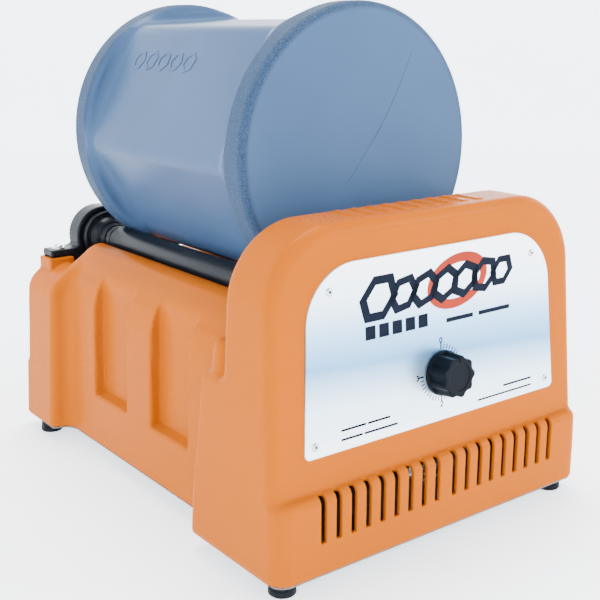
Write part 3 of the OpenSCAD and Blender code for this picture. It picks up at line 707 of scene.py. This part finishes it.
def place_of(tree):
    """The x, y and z outputs of the piece's own coordinates, in metres in the row frame."""
    coords = tree.nodes.new("ShaderNodeTexCoord")
    split = tree.nodes.new("ShaderNodeSeparateXYZ")
    tree.links.new(coords.outputs["Object"], split.inputs["Vector"])
    return split.outputs


def drum_material():
    """Blue-grey polyethylene, smooth on the barrel and end, pebbled round the two rims, with painted shade in
    the pebbling's hollows.
    """
    color = (0.037, 0.068, 0.132)
    mat, tree, shader = new_material("drum_plastic", color, 0.36, specular=0.08, tinted=(0.6, 0.8, 1))
    out = place_of(tree)
    up = math_node(tree, "SUBTRACT", out["Z"], AXIS_Z * MM + ORIGIN[2])
    radius = hypot_node(tree, out["X"], up)
    rim = spread(tree, radius, 0.0, 1.0, (RIM_R - 6.5) * MM, (RIM_R - 3.5) * MM)
    middle = (DRUM_Y + DRUM_BACK) / 2 * MM + ORIGIN[1]
    off_middle = math_node(tree, "ABSOLUTE", math_node(tree, "SUBTRACT", out["Y"], middle))
    at_end = (DRUM_BACK - DRUM_Y) / 2 * MM
    ends = spread(tree, off_middle, 0.0, 1.0, at_end - (RIM_W - 1) * MM, at_end - (RIM_W - 4) * MM)
    pebbled = math_node(tree, "MULTIPLY", rim, ends)
    pebble = spots(tree, 1300, 3)
    body_color = drifting(tree, spots(tree, 14, 3), color, 0.94, 1.07)
    # The rims' colour follows the pebbling and is darkest where it is low: painted shade in its dimples.
    pebble_shaded_color = ramp(tree, pebble, [(0.38, tint(color, 0.42)), (0.62, tint(color, 0.9))])
    mix = tree.nodes.new("ShaderNodeMix")
    mix.data_type = "RGBA"
    tree.links.new(pebbled, mix.inputs["Factor"])
    tree.links.new(body_color, mix.inputs["A"])
    tree.links.new(pebble_shaded_color, mix.inputs["B"])
    tree.links.new(mix.outputs["Result"], shader.inputs["Base Color"])
    fine = spots(tree, 1100, 2)
    rough = math_node(tree, "ADD", spread(tree, fine, 0.3, 0.38), math_node(tree, "MULTIPLY", pebbled, 0.22))
    tree.links.new(rough, shader.inputs["Roughness"])
    coarse = math_node(tree, "MULTIPLY", pebble, pebbled)
    height = math_node(tree, "ADD", coarse, math_node(tree, "MULTIPLY", fine, 0.04))
    bump(tree, shader, height, 0.0005)
    return mat


def panel_material():
    """Satin aluminium coloured by height: a blue band across it, between near white below and white above,
    shifted a little from side to side.
    """
    mat, tree, shader = new_material("panel_aluminium", (0.8, 0.86, 0.92), 0.34, metallic=0.75)
    lo, hi = span("control_panel")
    out = place_of(tree)
    height = spread(tree, out["Z"], 0.0, 1.0, lo[2] * MM + ORIGIN[2], hi[2] * MM + ORIGIN[2])
    across = spread(tree, out["X"], -0.1, 0.16, lo[0] * MM, hi[0] * MM)
    blend = math_node(tree, "ADD", height, math_node(tree, "MULTIPLY", across, 0.55))
    wash = [
        (0.0, (0.88, 0.94, 1.0)),
        (0.2, (0.66, 0.82, 0.95)),
        (0.42, (0.13, 0.32, 0.55)),
        (0.58, (0.28, 0.52, 0.78)),
        (0.8, (0.8, 0.92, 1.0)),
        (1.0, (0.97, 0.99, 1.0)),
    ]
    tree.links.new(ramp(tree, blend, wash), shader.inputs["Base Color"])
    brush = spots(tree, 500, 2, (0.05, 1, 3))
    tree.links.new(spread(tree, brush, 0.28, 0.42), shader.inputs["Roughness"])
    bump(tree, shader, brush, 0.000004)
    return mat


ORANGE = (0.36, 0.078, 0.00004)
orange_abs = moulded("orange_abs", ORANGE, 0.28, vary=0.03, specular=0.025, tinted=(1, 0.45, 0.05))
drum_plastic = drum_material()
panel_metal = panel_material()
roller_rubber = moulded("roller_rubber", (0.006, 0.007, 0.009), 0.34, grain=500, vary=0.15, specular=0.08)
black_nylon = moulded("black_nylon", (0.005, 0.006, 0.008), 0.32, grain=1200, vary=0.12, specular=0.07)
knob_plastic = moulded("knob_plastic", (0.003, 0.004, 0.006), 0.45, grain=1500, vary=0.1, specular=0.04)
foot_rubber = moulded("foot_rubber", (0.006, 0.007, 0.009), 0.5, grain=800, vary=0.15, specular=0.06)
lid_plastic = moulded("lid_plastic", (0.03, 0.06, 0.13), 0.4, grain=700, specular=0.14)
seal_rubber = moulded("seal_rubber", (0.008, 0.008, 0.009), 0.6, grain=700, specular=0.08)
ink_navy = moulded("ink_navy", (0.004, 0.006, 0.013), 0.5, grain=600, specular=0.03)
ink_red = moulded("ink_red", (0.27, 0.026, 0.012), 0.5, grain=600, specular=0.03)
zinc = metal("zinc_steel", (0.72, 0.73, 0.75), 0.28)
ground_steel = metal("ground_steel", (0.6, 0.61, 0.63), 0.22, (1, 0.05, 1))
plate_steel = moulded("painted_steel", (0.1, 0.085, 0.08), 0.5, grain=500)
laminated = metal("laminated_steel", (0.25, 0.25, 0.27), 0.45, (0.02, 20, 0.02), 60)
copper_tape = moulded("coil_tape", (0.5, 0.3, 0.06), 0.4, grain=400)
bronze = metal("sintered_bronze", (0.55, 0.36, 0.14), 0.42)
belt_rubber = moulded("belt_rubber", (0.02, 0.02, 0.02), 0.65, grain=900)
ivory = moulded("ivory_nylon", (0.75, 0.7, 0.58), 0.4)
cable_pvc = moulded("cable_pvc", (0.03, 0.03, 0.032), 0.4)
fan_plastic = moulded("fan_plastic", (0.35, 0.34, 0.3), 0.45)
aluminium = metal("die_cast", (0.62, 0.63, 0.65), 0.38)

# ---- Housing and drum ----

housing_mesh = field_mesh(
    housing_field,
    axis(-HALF_W, HALF_W, 2.0, [(-112, 112, 0.75)]),
    axis(0, HOUSING_L, 2.0, [(-2, 10, 0.8)]),
    axis(0, TOWER_H, 2.0, [(18, 60, 0.8), (216, 226, 0.5)]),
)
add("housing_shell", housing_mesh, orange_abs, "housing", ["housing"])

drum_mesh = field_mesh(
    drum_field,
    axis(-RIM_R, RIM_R, 1.6),
    axis(DRUM_Y, DRUM_BACK + MOUTH_LIP, 1.6),
    axis(AXIS_Z - RIM_R, AXIS_Z + RIM_R, 1.6),
)
add("drum_body", drum_mesh, drum_plastic, "drum", ["drum_shell"])


def flat_spot():
    """The drum flat that faces up and left: X runs forwards, Z up the flat and Y into the drum."""
    lean = HEX_TURN + math.radians(150)
    normal = Vector((math.cos(lean), 0, math.sin(lean)))
    up = Vector((math.sin(lean), 0, -math.cos(lean)))
    m = Matrix((Vector((0, -1, 0)), -normal, up)).transposed().to_4x4()
    m.translation = Vector((0, 0, AXIS_Z)) + normal * HEX_R * HEX_FLAT
    return m


def outlined_hexagon(u, v, radius, width, turn, shear):
    """A ribbon that runs round a hexagon centred at (u, v)."""
    path = hexagon_path(radius, turn)
    return {"path": path, "width": width, "closed": True, "u": u, "v": v, "shear": shear}


mark = [outlined_hexagon(-285 + 18.5 * k, 22, 7.2, 2.2, 20 * k, 0.2) for k in range(5)]
add("drum_mark", ribbons_mesh(mark, flat_spot(), -1, 0.5), drum_plastic, "drum")

# The seam's (x, z) points on the drum's front end.
seam = [(46.1, 322.6), (40.6, 311), (34.3, 298.4), (27.7, 286.4), (20.6, 274.4), (11.8, 262.4), (2.2, 250.8)]
seam += [(-6, 240.6), (-14.1, 230.9)]
front_end = at(0, DRUM_Y, AXIS_Z)
line = [{"path": [(px, pz - AXIS_Z) for px, pz in seam], "width": 1.1}]
add("drum_seam", ribbons_mesh(line, front_end, -0.6, 0.22), drum_plastic, "drum")

PLATE_LOW = span("bottom_plate")[0][2]
PLATE_INSET = 1.0
PLATE_HOLE_R = 1.9
OUTLINE_Z = 3.0


def plate_field(x, y, z):
    """The bottom plate: the housing's own outline, a little inside it, with its vents and screw holes."""
    ax = np.abs(x)
    outline = shell_outside(ax, y, OUTLINE_Z + 0 * z) + PLATE_INSET
    body = round_max(outline, between(z, PLATE_LOW, 0), 0.3)
    half_row = (VENTS - 1) / 2
    vent_x = x - VENT_FIRST + VENT_PITCH * half_row
    vent_x = vent_x - VENT_PITCH * np.clip(np.round(vent_x / VENT_PITCH + 0.5) - 0.5, -half_row, half_row)
    body = np.maximum(body, -round_max(np.abs(vent_x) - VENT_W / 2, between(y, *VENT_Y), VENT_W / 2 - 0.1))
    for px, py in SCREW_POINTS:
        body = np.maximum(body, PLATE_HOLE_R - np.hypot(ax - px, y - py))
    return body


plate_axes = axis(-144, 144, 1.6, [(-80, -30, 0.8)]), axis(0, HOUSING_L, 1.6), axis(PLATE_LOW, 0, 0.5)
plate_mesh = field_mesh(plate_field, *plate_axes, 60000)
add("base_plate", plate_mesh, plate_steel, "housing", ["bottom_plate"])

# ---- Rollers and their blocks ----

sleeve_lo, sleeve_hi = span("drive_roller_sleeve")
flange_lo, flange_hi = span("drive_roller_flange")
ROLLER_R = (sleeve_hi[0] - sleeve_lo[0]) / 2
SHAFT_R = 5.0
Y0, Y1 = sleeve_lo[1], sleeve_hi[1]
F0, F1 = flange_lo[1], flange_hi[1]
groove = ROLLER_R - 0.6
sleeve_profile = rounded(
    [(SHAFT_R, Y0), (ROLLER_R, Y0)]
    + [(ROLLER_R, Y0 + 6), (groove, Y0 + 6), (groove, Y0 + 7.2), (ROLLER_R, Y0 + 7.2)]
    + [(ROLLER_R, Y1 - 8), (groove, Y1 - 8), (groove, Y1 - 6.8), (ROLLER_R, Y1 - 6.8)]
    + [(ROLLER_R, Y1), (SHAFT_R, Y1)],
    [0, 1, 0.3, 0.3, 0.3, 0.3, 0.3, 0.3, 0.3, 0.3, 1, 0],
)
flange_profile = rounded(
    [(SHAFT_R, F0), (12.9, F0), (12.9, F0 + 7), (12.2, F0 + 7), (12.2, F0 + 8.4), (14.6, F0 + 9.4)]
    + [(15.1, F0 + 12), (17.2, F0 + 16), (19, F0 + 16), (19, F0 + 16.7), (20.2, F0 + 16.7), (20.2, F0 + 16)]
    + [(22, F0 + 16), (22, F1), (SHAFT_R, F1)],
    [0, 0.8, 0.2, 0.2, 0.6, 0.8, 3, 1.2, 0.2, 0.2, 0.2, 0.2, 0.9, 0.9, 0],
)
for name, side in (("drive_roller", 1), ("idler_roller", -1)):
    spot = [at(side * ROLLER_X, 0, ROLLER_Z)]
    rubber = turned_mesh(sleeve_profile, spot)
    add(name + "_rubber", rubber, roller_rubber, name, [name + "_sleeve"])
    collar = turned_mesh(flange_profile, spot)
    add(name + "_collar", collar, black_nylon, name, [name + "_flange"])

block_lo, block_hi = span("right_bearing_block")
BLOCK_SCREW_X, BLOCK_SCREW_Y = 108.0, 378.0
BLOCK_FOOT_H = 6.5
WASHER_T = 1.0


def block_field(x, y, z):
    """Both bearing blocks: a round eye on a base, with a groove round it, and a foot for the screw."""
    x = np.abs(x)
    eye_r = np.hypot(x - ROLLER_X, z - ROLLER_Z)
    base = round_max(between(x, ROLLER_X - 24, ROLLER_X + 30), between(z, BED_FLOOR, BED_FLOOR + 14), 2)
    foot = round_max(between(x, ROLLER_X + 10, block_hi[0]), between(z, PAD_TOP, PAD_TOP + BLOCK_FOOT_H), 1.5)
    outline = np.maximum(round_min(round_min(eye_r - 26, base, 5), foot, 4), BED_FLOOR - z)
    body = round_max(outline, between(y, block_lo[1], block_hi[1]), 1.8)
    ring = np.maximum(between(eye_r, 15.6, 22.6), y - block_lo[1] - 1.6)
    body = round_max(body, -ring, 0.6)
    body = round_max(body, -np.maximum(eye_r - 13, y - block_hi[1] + 3), 0.8)
    cap = np.maximum(between(eye_r, 17, 19), block_hi[1] - 1 - y)
    body = round_max(body, -cap, 0.4)
    hole = np.maximum(np.hypot(x - BLOCK_SCREW_X, y - BLOCK_SCREW_Y) - 1.8, PAD_TOP - 1 - z)
    return np.maximum(body, -hole)


for side, name in ((1, "right"), (-1, "left")):
    x0, x1 = sorted((side * block_lo[0], side * block_hi[0]))
    block_axes = axis(x0, x1, 0.8), axis(block_lo[1], block_hi[1], 0.8), axis(BED_FLOOR, block_hi[2], 0.8)
    made = field_mesh(block_field, *block_axes, 60000)
    add(name + "_bearing_housing", made, black_nylon, "housing", [name + "_bearing_block"])

SCREW_HEAD_R = 4
SCREW_HEAD_H = 2.6
SCREW_R = 1.75
SCREW_LENGTH = 18


def screw_field(x, y, z):
    """A pan-head screw with a cross recess, its head's underside at height 0."""
    r = np.hypot(x, y)
    dome = np.sqrt(r**2 + (z + 3.2) ** 2) - 5.8
    head = round_max(round_max(r - SCREW_HEAD_R, between(z, 0, SCREW_HEAD_H), 0.3), dome, 0.6)
    ax, ay = np.abs(x), np.abs(y)
    cross = np.minimum(np.maximum(ax - 2.2, ay - 0.45), np.maximum(ay - 2.2, ax - 0.45))
    thread = np.maximum(r - SCREW_R + 0.12 * np.sin(z * 9), between(z, -SCREW_LENGTH, 0.4))
    return np.maximum(np.minimum(head, thread), -np.maximum(cross, 1 - z))


for side, name in ((1, "right"), (-1, "left")):
    spot = at(side * BLOCK_SCREW_X, BLOCK_SCREW_Y, PAD_TOP + BLOCK_FOOT_H + WASHER_T)
    spot = spot @ Matrix.Rotation(0.4 * side, 4, "Z")
    across = axis(-SCREW_HEAD_R, SCREW_HEAD_R, 0.25)
    made = field_mesh(screw_field, across, across, axis(-SCREW_LENGTH, SCREW_HEAD_H, 0.3), 30000, spot)
    add("block_screw_" + name, made, zinc, "housing", ["block_screws"] if side > 0 else [])

# ---- Panel, print and timer knob ----

PANEL_HALF, PANEL_LOW, PANEL_H = 117.2, 22.0, 121.3
LOW_R, TOP_R = 4, 40
panel_top = PANEL_LOW + PANEL_H
top_half = PANEL_HALF - SIDE_DRAFT * PANEL_H
right_side = arc_path(PANEL_HALF - LOW_R, PANEL_LOW + LOW_R, LOW_R, LOW_R, -90, 0, 6)
right_side += arc_path(top_half - TOP_R, panel_top - TOP_R, TOP_R, TOP_R, 0, 90, 20)
outline = right_side + [(-u, v) for u, v in reversed(right_side)]
plate = slab_mesh(outline, on_face, 0, PANEL_T, 0.35)
add("panel_plate", plate, panel_metal, "housing", ["control_panel"])

rivet_profile = [(0, -1.5), (0.95, -1.5), (1.05, -2.1), (1.3, -2.2), (1.7, -2.2), (2.3, -1.9)]
rivet_profile += [(2.75, -1.4), (2.8, -1.1), (0, -1.1)]
rivet_spots = [face_spot(side * u, v) for u, v in ((109, 30), (93.5, 126.5)) for side in (-1, 1)]
heads = turned_mesh(rivet_profile, rivet_spots, 32)
add("rivet_heads", heads, ground_steel, "housing", ["panel_rivets"])
# A black disc in each rivet's centre recess: painted shade for the dark of the rivet's hollow middle.
core = [(0, -1.62), (0.8, -1.6), (0.85, -1.4), (0, -1.4)]
add("rivet_hole_shade", turned_mesh(core, rivet_spots, 24), black_nylon, "housing")

DIAL_U = joint_place("timer_turn")[0]
DIAL_V = (joint_place("timer_turn")[2] - SKIRT_H) * math.sqrt(1 + LEAN**2)
INK0, INK1 = PANEL_T - 0.05, PANEL_T + 0.06


def bar(u0, u1, v, thick):
    return {"path": [(u0, v), (u1, v)], "width": thick}


# A leaning row of hexagon outlines: a large one, five in a row that climbs a little, and a small one.
ROW_LEAN = 0.3
navy = [outlined_hexagon(-53, 116.5, 13.5, 5.8, 0, ROW_LEAN)]
navy += [outlined_hexagon(-31.5 + 19 * k, 116 + 0.5 * k, 10.2, 5.2, 10 + 10 * k, ROW_LEAN) for k in range(5)]
navy += [outlined_hexagon(62, 118.5, 9, 4.8, 60, ROW_LEAN)]
# Five blocks and two bars below them, and fine print as bars at the foot.
navy += [{"path": [(-61 + 11.6 * k, 90.4), (-61 + 11.6 * k, 99.4)], "width": 8.6} for k in range(5)]
navy += [bar(7, 33, 91.4, 3), bar(38.5, 70, 91.4, 3)]
navy += [bar(-88, -67, 35.6, 1.5), bar(-65.5, -46, 35.6, 1.5)]
navy += [bar(-88, -70, 29.4, 1.5), bar(-68.5, -39.5, 29.4, 1.5)]
navy += [bar(63.5, 93.5, 33.6, 1.5), bar(37, 93.5, 28.2, 1.3)]


def dial(u, v):
    return {"u": DIAL_U + u, "v": DIAL_V + v}


# The dial has ten ticks to the hour over its 270 degrees, with a longer one at each hour.
for k in range(31):
    turn = math.radians(90 - 9 * k)
    tick_r, width = (20.9, 1.1) if k % 10 == 0 else (19.8, 0.75)
    path = [(r * math.cos(turn), r * math.sin(turn)) for r in (16.6, tick_r)]
    navy.append({"path": path, "width": width, **dial(0, 0)})
digits = {
    0: [arc_path(0, 0, 1.1, 1.7, 0, 360, 16)[:-1]],
    1: [[(-0.8, 1.0), (0.1, 1.7), (0.1, -1.7)]],
    2: [arc_path(0, 0.75, 1.0, 0.95, 165, -30, 8) + [(-1.05, -1.7), (1.2, -1.7)]],
    3: [arc_path(0, 0.85, 0.95, 0.85, 150, -80, 8) + arc_path(0, -0.8, 1.1, 0.9, 80, -150, 8)],
}
for value, (u, v) in {0: (0, 22.6), 1: (22.6, 0), 2: (0, -22.4), 3: (-22.4, 0)}.items():
    for path in digits[value]:
        navy.append({"path": path, "width": 0.85, "closed": value == 0, **dial(u, v)})
add("panel_print", ribbons_mesh(navy, on_face, INK0, INK1), ink_navy, "housing")
oval = arc_path(0, 0, 25, 15.5, 0, 360, 64)[:-1]
ring = [{"path": oval, "width": 6.5, "closed": True, "u": 18.4, "v": 117.7, "shear": ROW_LEAN}]
add("panel_ring", ribbons_mesh(ring, on_face, INK0 - 0.02, INK1 - 0.03), ink_red, "housing")

KNOB_R = 15.8
KNOB_BACK, KNOB_FRONT = 2.1, 18.95
KNOB_FLUTES = 9


def knob_field(x, y, z):
    """The timer's knob: x across, y inwards from the face and z up its slope."""
    out = -y
    r = np.hypot(x, z)
    skirt = round_max(r - KNOB_R, between(out, KNOB_BACK, 5.5), 0.8)
    a = fold(np.arctan2(z, x) - math.pi / KNOB_FLUTES, KNOB_FLUTES)
    taper = 0.05 * (out - 5.5)
    cut = np.hypot(r * np.cos(a) - 17.9 + taper, r * np.sin(a)) - 4.4
    grip = round_max(r - 15.3 + taper, -cut, 1.3)
    grip = round_max(grip, out - KNOB_FRONT, 0.7)
    body = round_min(skirt, np.maximum(grip, 4 - out), 0.5)
    body = round_max(body, -np.maximum(r - 9.6, 18.45 - out), 0.3)
    pointer = np.maximum(np.maximum(np.abs(x) - 0.5, between(z, 8, 20)), 18.4 - out)
    body = np.maximum(body, -pointer)
    body = np.maximum(body, -np.maximum(r - 9, out - 6))
    return np.maximum(body, -np.maximum(r - 3, out - 10.8))


across = axis(-KNOB_R, KNOB_R, 0.4)
knob_spot = face_spot(DIAL_U, DIAL_V)
knob_mesh = field_mesh(knob_field, across, axis(-19, -KNOB_BACK, 0.4), across, 70000, knob_spot)
add("timer_grip", knob_mesh, knob_plastic, "timer_knob", ["timer_knob"])

# ---- Drum lid ----

lid_lo, lid_hi = span("drum_lid")
LID_Y1 = lid_hi[1]
LID_R = lid_hi[0]


def lid_field(x, y, z):
    """The lid: a disc with twelve slots and a round dish outside, and a shoulder and plug for the mouth."""
    z = z - AXIS_Z
    r = np.hypot(x, z)
    disc = capped(r, LID_R, y, LID_Y1 - 5, LID_Y1, 1.4)
    shoulder = np.maximum(r - 57, between(y, LID_Y1 - 8, LID_Y1 - 3))
    plug = np.maximum(between(r, 45.5, 49.5), between(y, lid_lo[1], LID_Y1 - 3))
    body = round_min(np.minimum(disc, shoulder), plug, 1.0)
    a = fold(np.arctan2(z, x), 12)
    slot = round_max(between(r * np.cos(a), 38, 58), np.abs(r * np.sin(a)) - 1.5, 1.4)
    slot = np.maximum(slot, LID_Y1 - 1.5 - y)
    body = round_max(body, -slot, 0.5)
    dish = round_max(between(r, 14, 32), LID_Y1 - 1 - y, 0.8)
    body = round_max(body, -dish, 0.6)
    return np.maximum(body, 4.2 - r)


across, up = axis(-LID_R, LID_R, 1.1), axis(AXIS_Z - LID_R, AXIS_Z + LID_R, 1.1)
lid_mesh = field_mesh(lid_field, across, axis(lid_lo[1], LID_Y1, 0.7), up, 120000)
add("lid_disc", lid_mesh, lid_plastic, "lid", ["drum_lid"])

grip_lo, grip_hi = span("lid_knob")
GRIP_Y = grip_lo[1]
GRIP_R = 22


def grip_field(x, y, z):
    """The lid's six-lobed knob on its collar."""
    z = z - AXIS_Z
    r = np.hypot(x, z)
    collar = np.maximum(r - 12, between(y, GRIP_Y, GRIP_Y + 6))
    a = fold(np.arctan2(z, x), 6)
    cut = np.hypot(r * np.cos(a) - 27, r * np.sin(a)) - 9.5
    star = round_max(round_max(r - GRIP_R, -cut, 3), between(y, GRIP_Y + 5, grip_hi[1]), 2)
    body = round_min(star, collar, 1.5)
    body = round_max(body, -np.maximum(r - 8, grip_hi[1] - 0.7 - y), 0.4)
    return np.maximum(body, -np.maximum(r - 4.2, y - GRIP_Y - 16))


across, up = axis(-GRIP_R, GRIP_R, 0.6), axis(AXIS_Z - GRIP_R, AXIS_Z + GRIP_R, 0.6)
grip_mesh = field_mesh(grip_field, across, axis(GRIP_Y, grip_hi[1], 0.6), up, 60000)
add("lid_grip", grip_mesh, black_nylon, "lid_knob", ["lid_knob"])

seal_lo, seal_hi = span("lid_seal")
S0, S1 = seal_lo[1], seal_hi[1]
seal_profile = rounded(
    [(49.5, S0), (56.6, S0), (57.5, S0 + 1.4), (56.2, S0 + 2.8), (56.2, S0 + 3.4), (57.5, S0 + 4.6)]
    + [(56.2, S0 + 5.8), (56.2, S0 + 6.4), (57.5, S0 + 7.6), (56.8, S1), (49.5, S1)],
    [0.3, 0.6, 0.7, 0.4, 0.4, 0.7, 0.4, 0.4, 0.7, 0.5, 0.3],
    3,
)
gasket = turned_mesh(seal_profile, [at(0, 0, AXIS_Z)], 144)
add("lid_gasket", gasket, seal_rubber, "lid", ["lid_seal"])

# ---- Feet and cord gland ----

upright = Matrix.Rotation(math.pi / 2, 4, "X")
foot_lo, foot_hi = span("rubber_feet")
Z0, Z1 = foot_lo[2], foot_hi[2]
foot_profile = rounded(
    [(1.8, Z0 + 5), (5, Z0 + 5), (5, Z0), (9.5, Z0), (9.1, Z0 + 4.4)]
    + [(8.5, Z0 + 4.8), (8.5, Z0 + 5.4), (8.9, Z0 + 5.8), (8.5, Z1), (1.8, Z1)],
    [0, 0.3, 0.5, 1.2, 0.2, 0.2, 0.2, 0.2, 0.6, 0],
)
foot_spots = [at(px, py, 0) @ upright for px, py in FOOT_POINTS]
add("feet", turned_mesh(foot_profile, foot_spots, 64), foot_rubber, "housing", ["rubber_feet"])

gland_lo, gland_hi = span("cord_gland")
G0, G1 = gland_lo[1], gland_hi[1]
gland_profile = rounded(
    [(3.75, G0), (8, G0), (8, HOUSING_L), (11, HOUSING_L)]
    + [(10.3, G1 - 0.8), (7.4, G1 - 0.8), (6.8, G1), (3.75, G1)],
    [0, 0.4, 0, 0.5, 0.9, 0.4, 0.3, 0.5],
)
gland_spot = [at(GLAND_X, 0, GLAND_Z)]
gland = turned_mesh(gland_profile, gland_spot, 64)
add("gland_ring", gland, black_nylon, "housing", ["cord_gland"])

# ---- CAD nodes kept as they are, with materials ----

LOOKS = {
    "foot_washers": zinc,
    "foot_screws": zinc,
    "plate_screws": zinc,
    "timer_body": ivory,
    "timer_terminals": bronze,
    "timer_nut": zinc,
    "timer_shaft": ground_steel,
    "motor_laminations": laminated,
    "motor_coil": copper_tape,
    "motor_bearing_brackets": aluminium,
    "motor_bolts": zinc,
    "motor_mount": zinc,
    "motor_mount_screws": zinc,
    "rotor_core": aluminium,
    "motor_shaft": ground_steel,
    "motor_pulley": black_nylon,
    "cooling_fan": fan_plastic,
    "drive_belt": belt_rubber,
    "driven_pulley": black_nylon,
    "pulley_set_screw": zinc,
    "front_bushes": bronze,
    "rear_bearings": ground_steel,
    "block_washers": zinc,
    "block_base_screws": zinc,
    "drive_roller_shaft": ground_steel,
    "idler_roller_shaft": ground_steel,
    "gland_nut": black_nylon,
    "terminal_block": ivory,
    "timer_lead": cable_pvc,
    "motor_lead": cable_pvc,
    "lid_washer": zinc,
    "lid_clamp_plate": aluminium,
    "lid_stud": ground_steel,
}
for name, material in LOOKS.items():
    piece = frame["nodes"][name]
    piece.data.materials.clear()
    piece.data.materials.append(material)

# ---- Camera, light and floor ----

LENS = 62.03
CAMERA_PLACE = (-0.48113, -0.65608, 0.35275)
CAMERA_AZIMUTH, CAMERA_ELEVATION = math.radians(-37.38), math.radians(14.96)
LAMP_AIM = (0, 0, 0.15)


def face_along(o, direction):
    """Turns a camera or lamp to look along that direction, with its top upwards."""
    o.rotation_mode = "QUATERNION"
    o.rotation_quaternion = direction.to_track_quat("-Z", "Y")


def make_camera():
    data = bpy.data.cameras.new("camera")
    data.lens = LENS
    cam = bpy.data.objects.new("camera", data)
    bpy.context.scene.collection.objects.link(cam)
    level = math.cos(CAMERA_ELEVATION)
    cam.location = CAMERA_PLACE
    back_x, back_y = math.sin(CAMERA_AZIMUTH) * level, -math.cos(CAMERA_AZIMUTH) * level
    face_along(cam, -Vector((back_x, back_y, math.sin(CAMERA_ELEVATION))))
    bpy.context.scene.camera = cam


def soft_box(name, place, size, power):
    data = bpy.data.lights.new(name, "AREA")
    data.shape = "RECTANGLE"
    data.size, data.size_y = size
    data.energy = power
    lamp = bpy.data.objects.new(name, data)
    bpy.context.scene.collection.objects.link(lamp)
    lamp.location = place
    face_along(lamp, Vector(LAMP_AIM) - Vector(place))


def make_studio():
    soft_box("light_top", (0.2, 0.4, 1.9), (1.0, 0.8), 74)
    soft_box("light_left", (-1.9, 0.3, 1.2), (1.0, 1.2), 11)
    soft_box("light_right", (1.4, -1.5, 1.1), (0.4, 0.6), 38)
    world = bpy.data.worlds.new("studio")
    world.use_nodes = True
    background = world.node_tree.nodes["Background"]
    background.inputs["Color"].default_value = (0.86, 0.93, 1.0, 1)
    background.inputs["Strength"].default_value = 0.7
    bpy.context.scene.world = world


def make_floor():
    """A round pale floor whose edge curves up into a wall, so that every view has a plain backdrop."""
    flat_r, curve_r, wall_h, sides, steps = 2.6, 1.0, 1.6, 96, 12
    ring = [(0.0, 0.0), (flat_r * 0.5, 0.0)]
    for k in range(steps + 1):
        a = math.pi / 2 * k / steps
        ring.append((flat_r + curve_r * math.sin(a), curve_r * (1 - math.cos(a))))
    ring.append((flat_r + curve_r, curve_r + wall_h))
    verts = [(0, 0, 0)]
    turns = [2 * math.pi * k / sides for k in range(sides)]
    for r, z in ring[1:]:
        verts += [(r * math.cos(a), r * math.sin(a), z) for a in turns]
    faces = [[0, 1 + k, 1 + (k + 1) % sides] for k in range(sides)]
    for row in range(len(ring) - 2):
        a, b = 1 + row * sides, 1 + (row + 1) * sides
        faces += [[a + k, b + k, b + (k + 1) % sides, a + (k + 1) % sides] for k in range(sides)]
    me = bpy.data.meshes.new("floor")
    me.from_pydata(verts, [], faces)
    make_smooth(me)
    floor = bpy.data.objects.new("floor", me)
    bpy.context.scene.collection.objects.link(floor)
    mat, tree, shader = new_material("floor_paper", (0.93, 0.95, 0.98), 0.7, specular=0.2)
    paper = ramp(tree, spots(tree, 2, 2), [(0.3, (0.92, 0.945, 0.975)), (0.7, (0.94, 0.96, 0.985))])
    tree.links.new(paper, shader.inputs["Base Color"])
    out = place_of(tree)
    far = hypot_node(tree, out["X"], out["Y"])
    # The paper glows, from 1.3 near the middle to 2.3 at the wall: painted light that brightens the far floor
    # and wall and lights the piece softly.
    shader.inputs["Emission Color"].default_value = (0.93, 0.97, 1.0, 1)
    tree.links.new(spread(tree, far, 1.3, 2.3, 0.5, 2.4), shader.inputs["Emission Strength"])
    me.materials.append(mat)


make_camera()
make_studio()
make_floor()
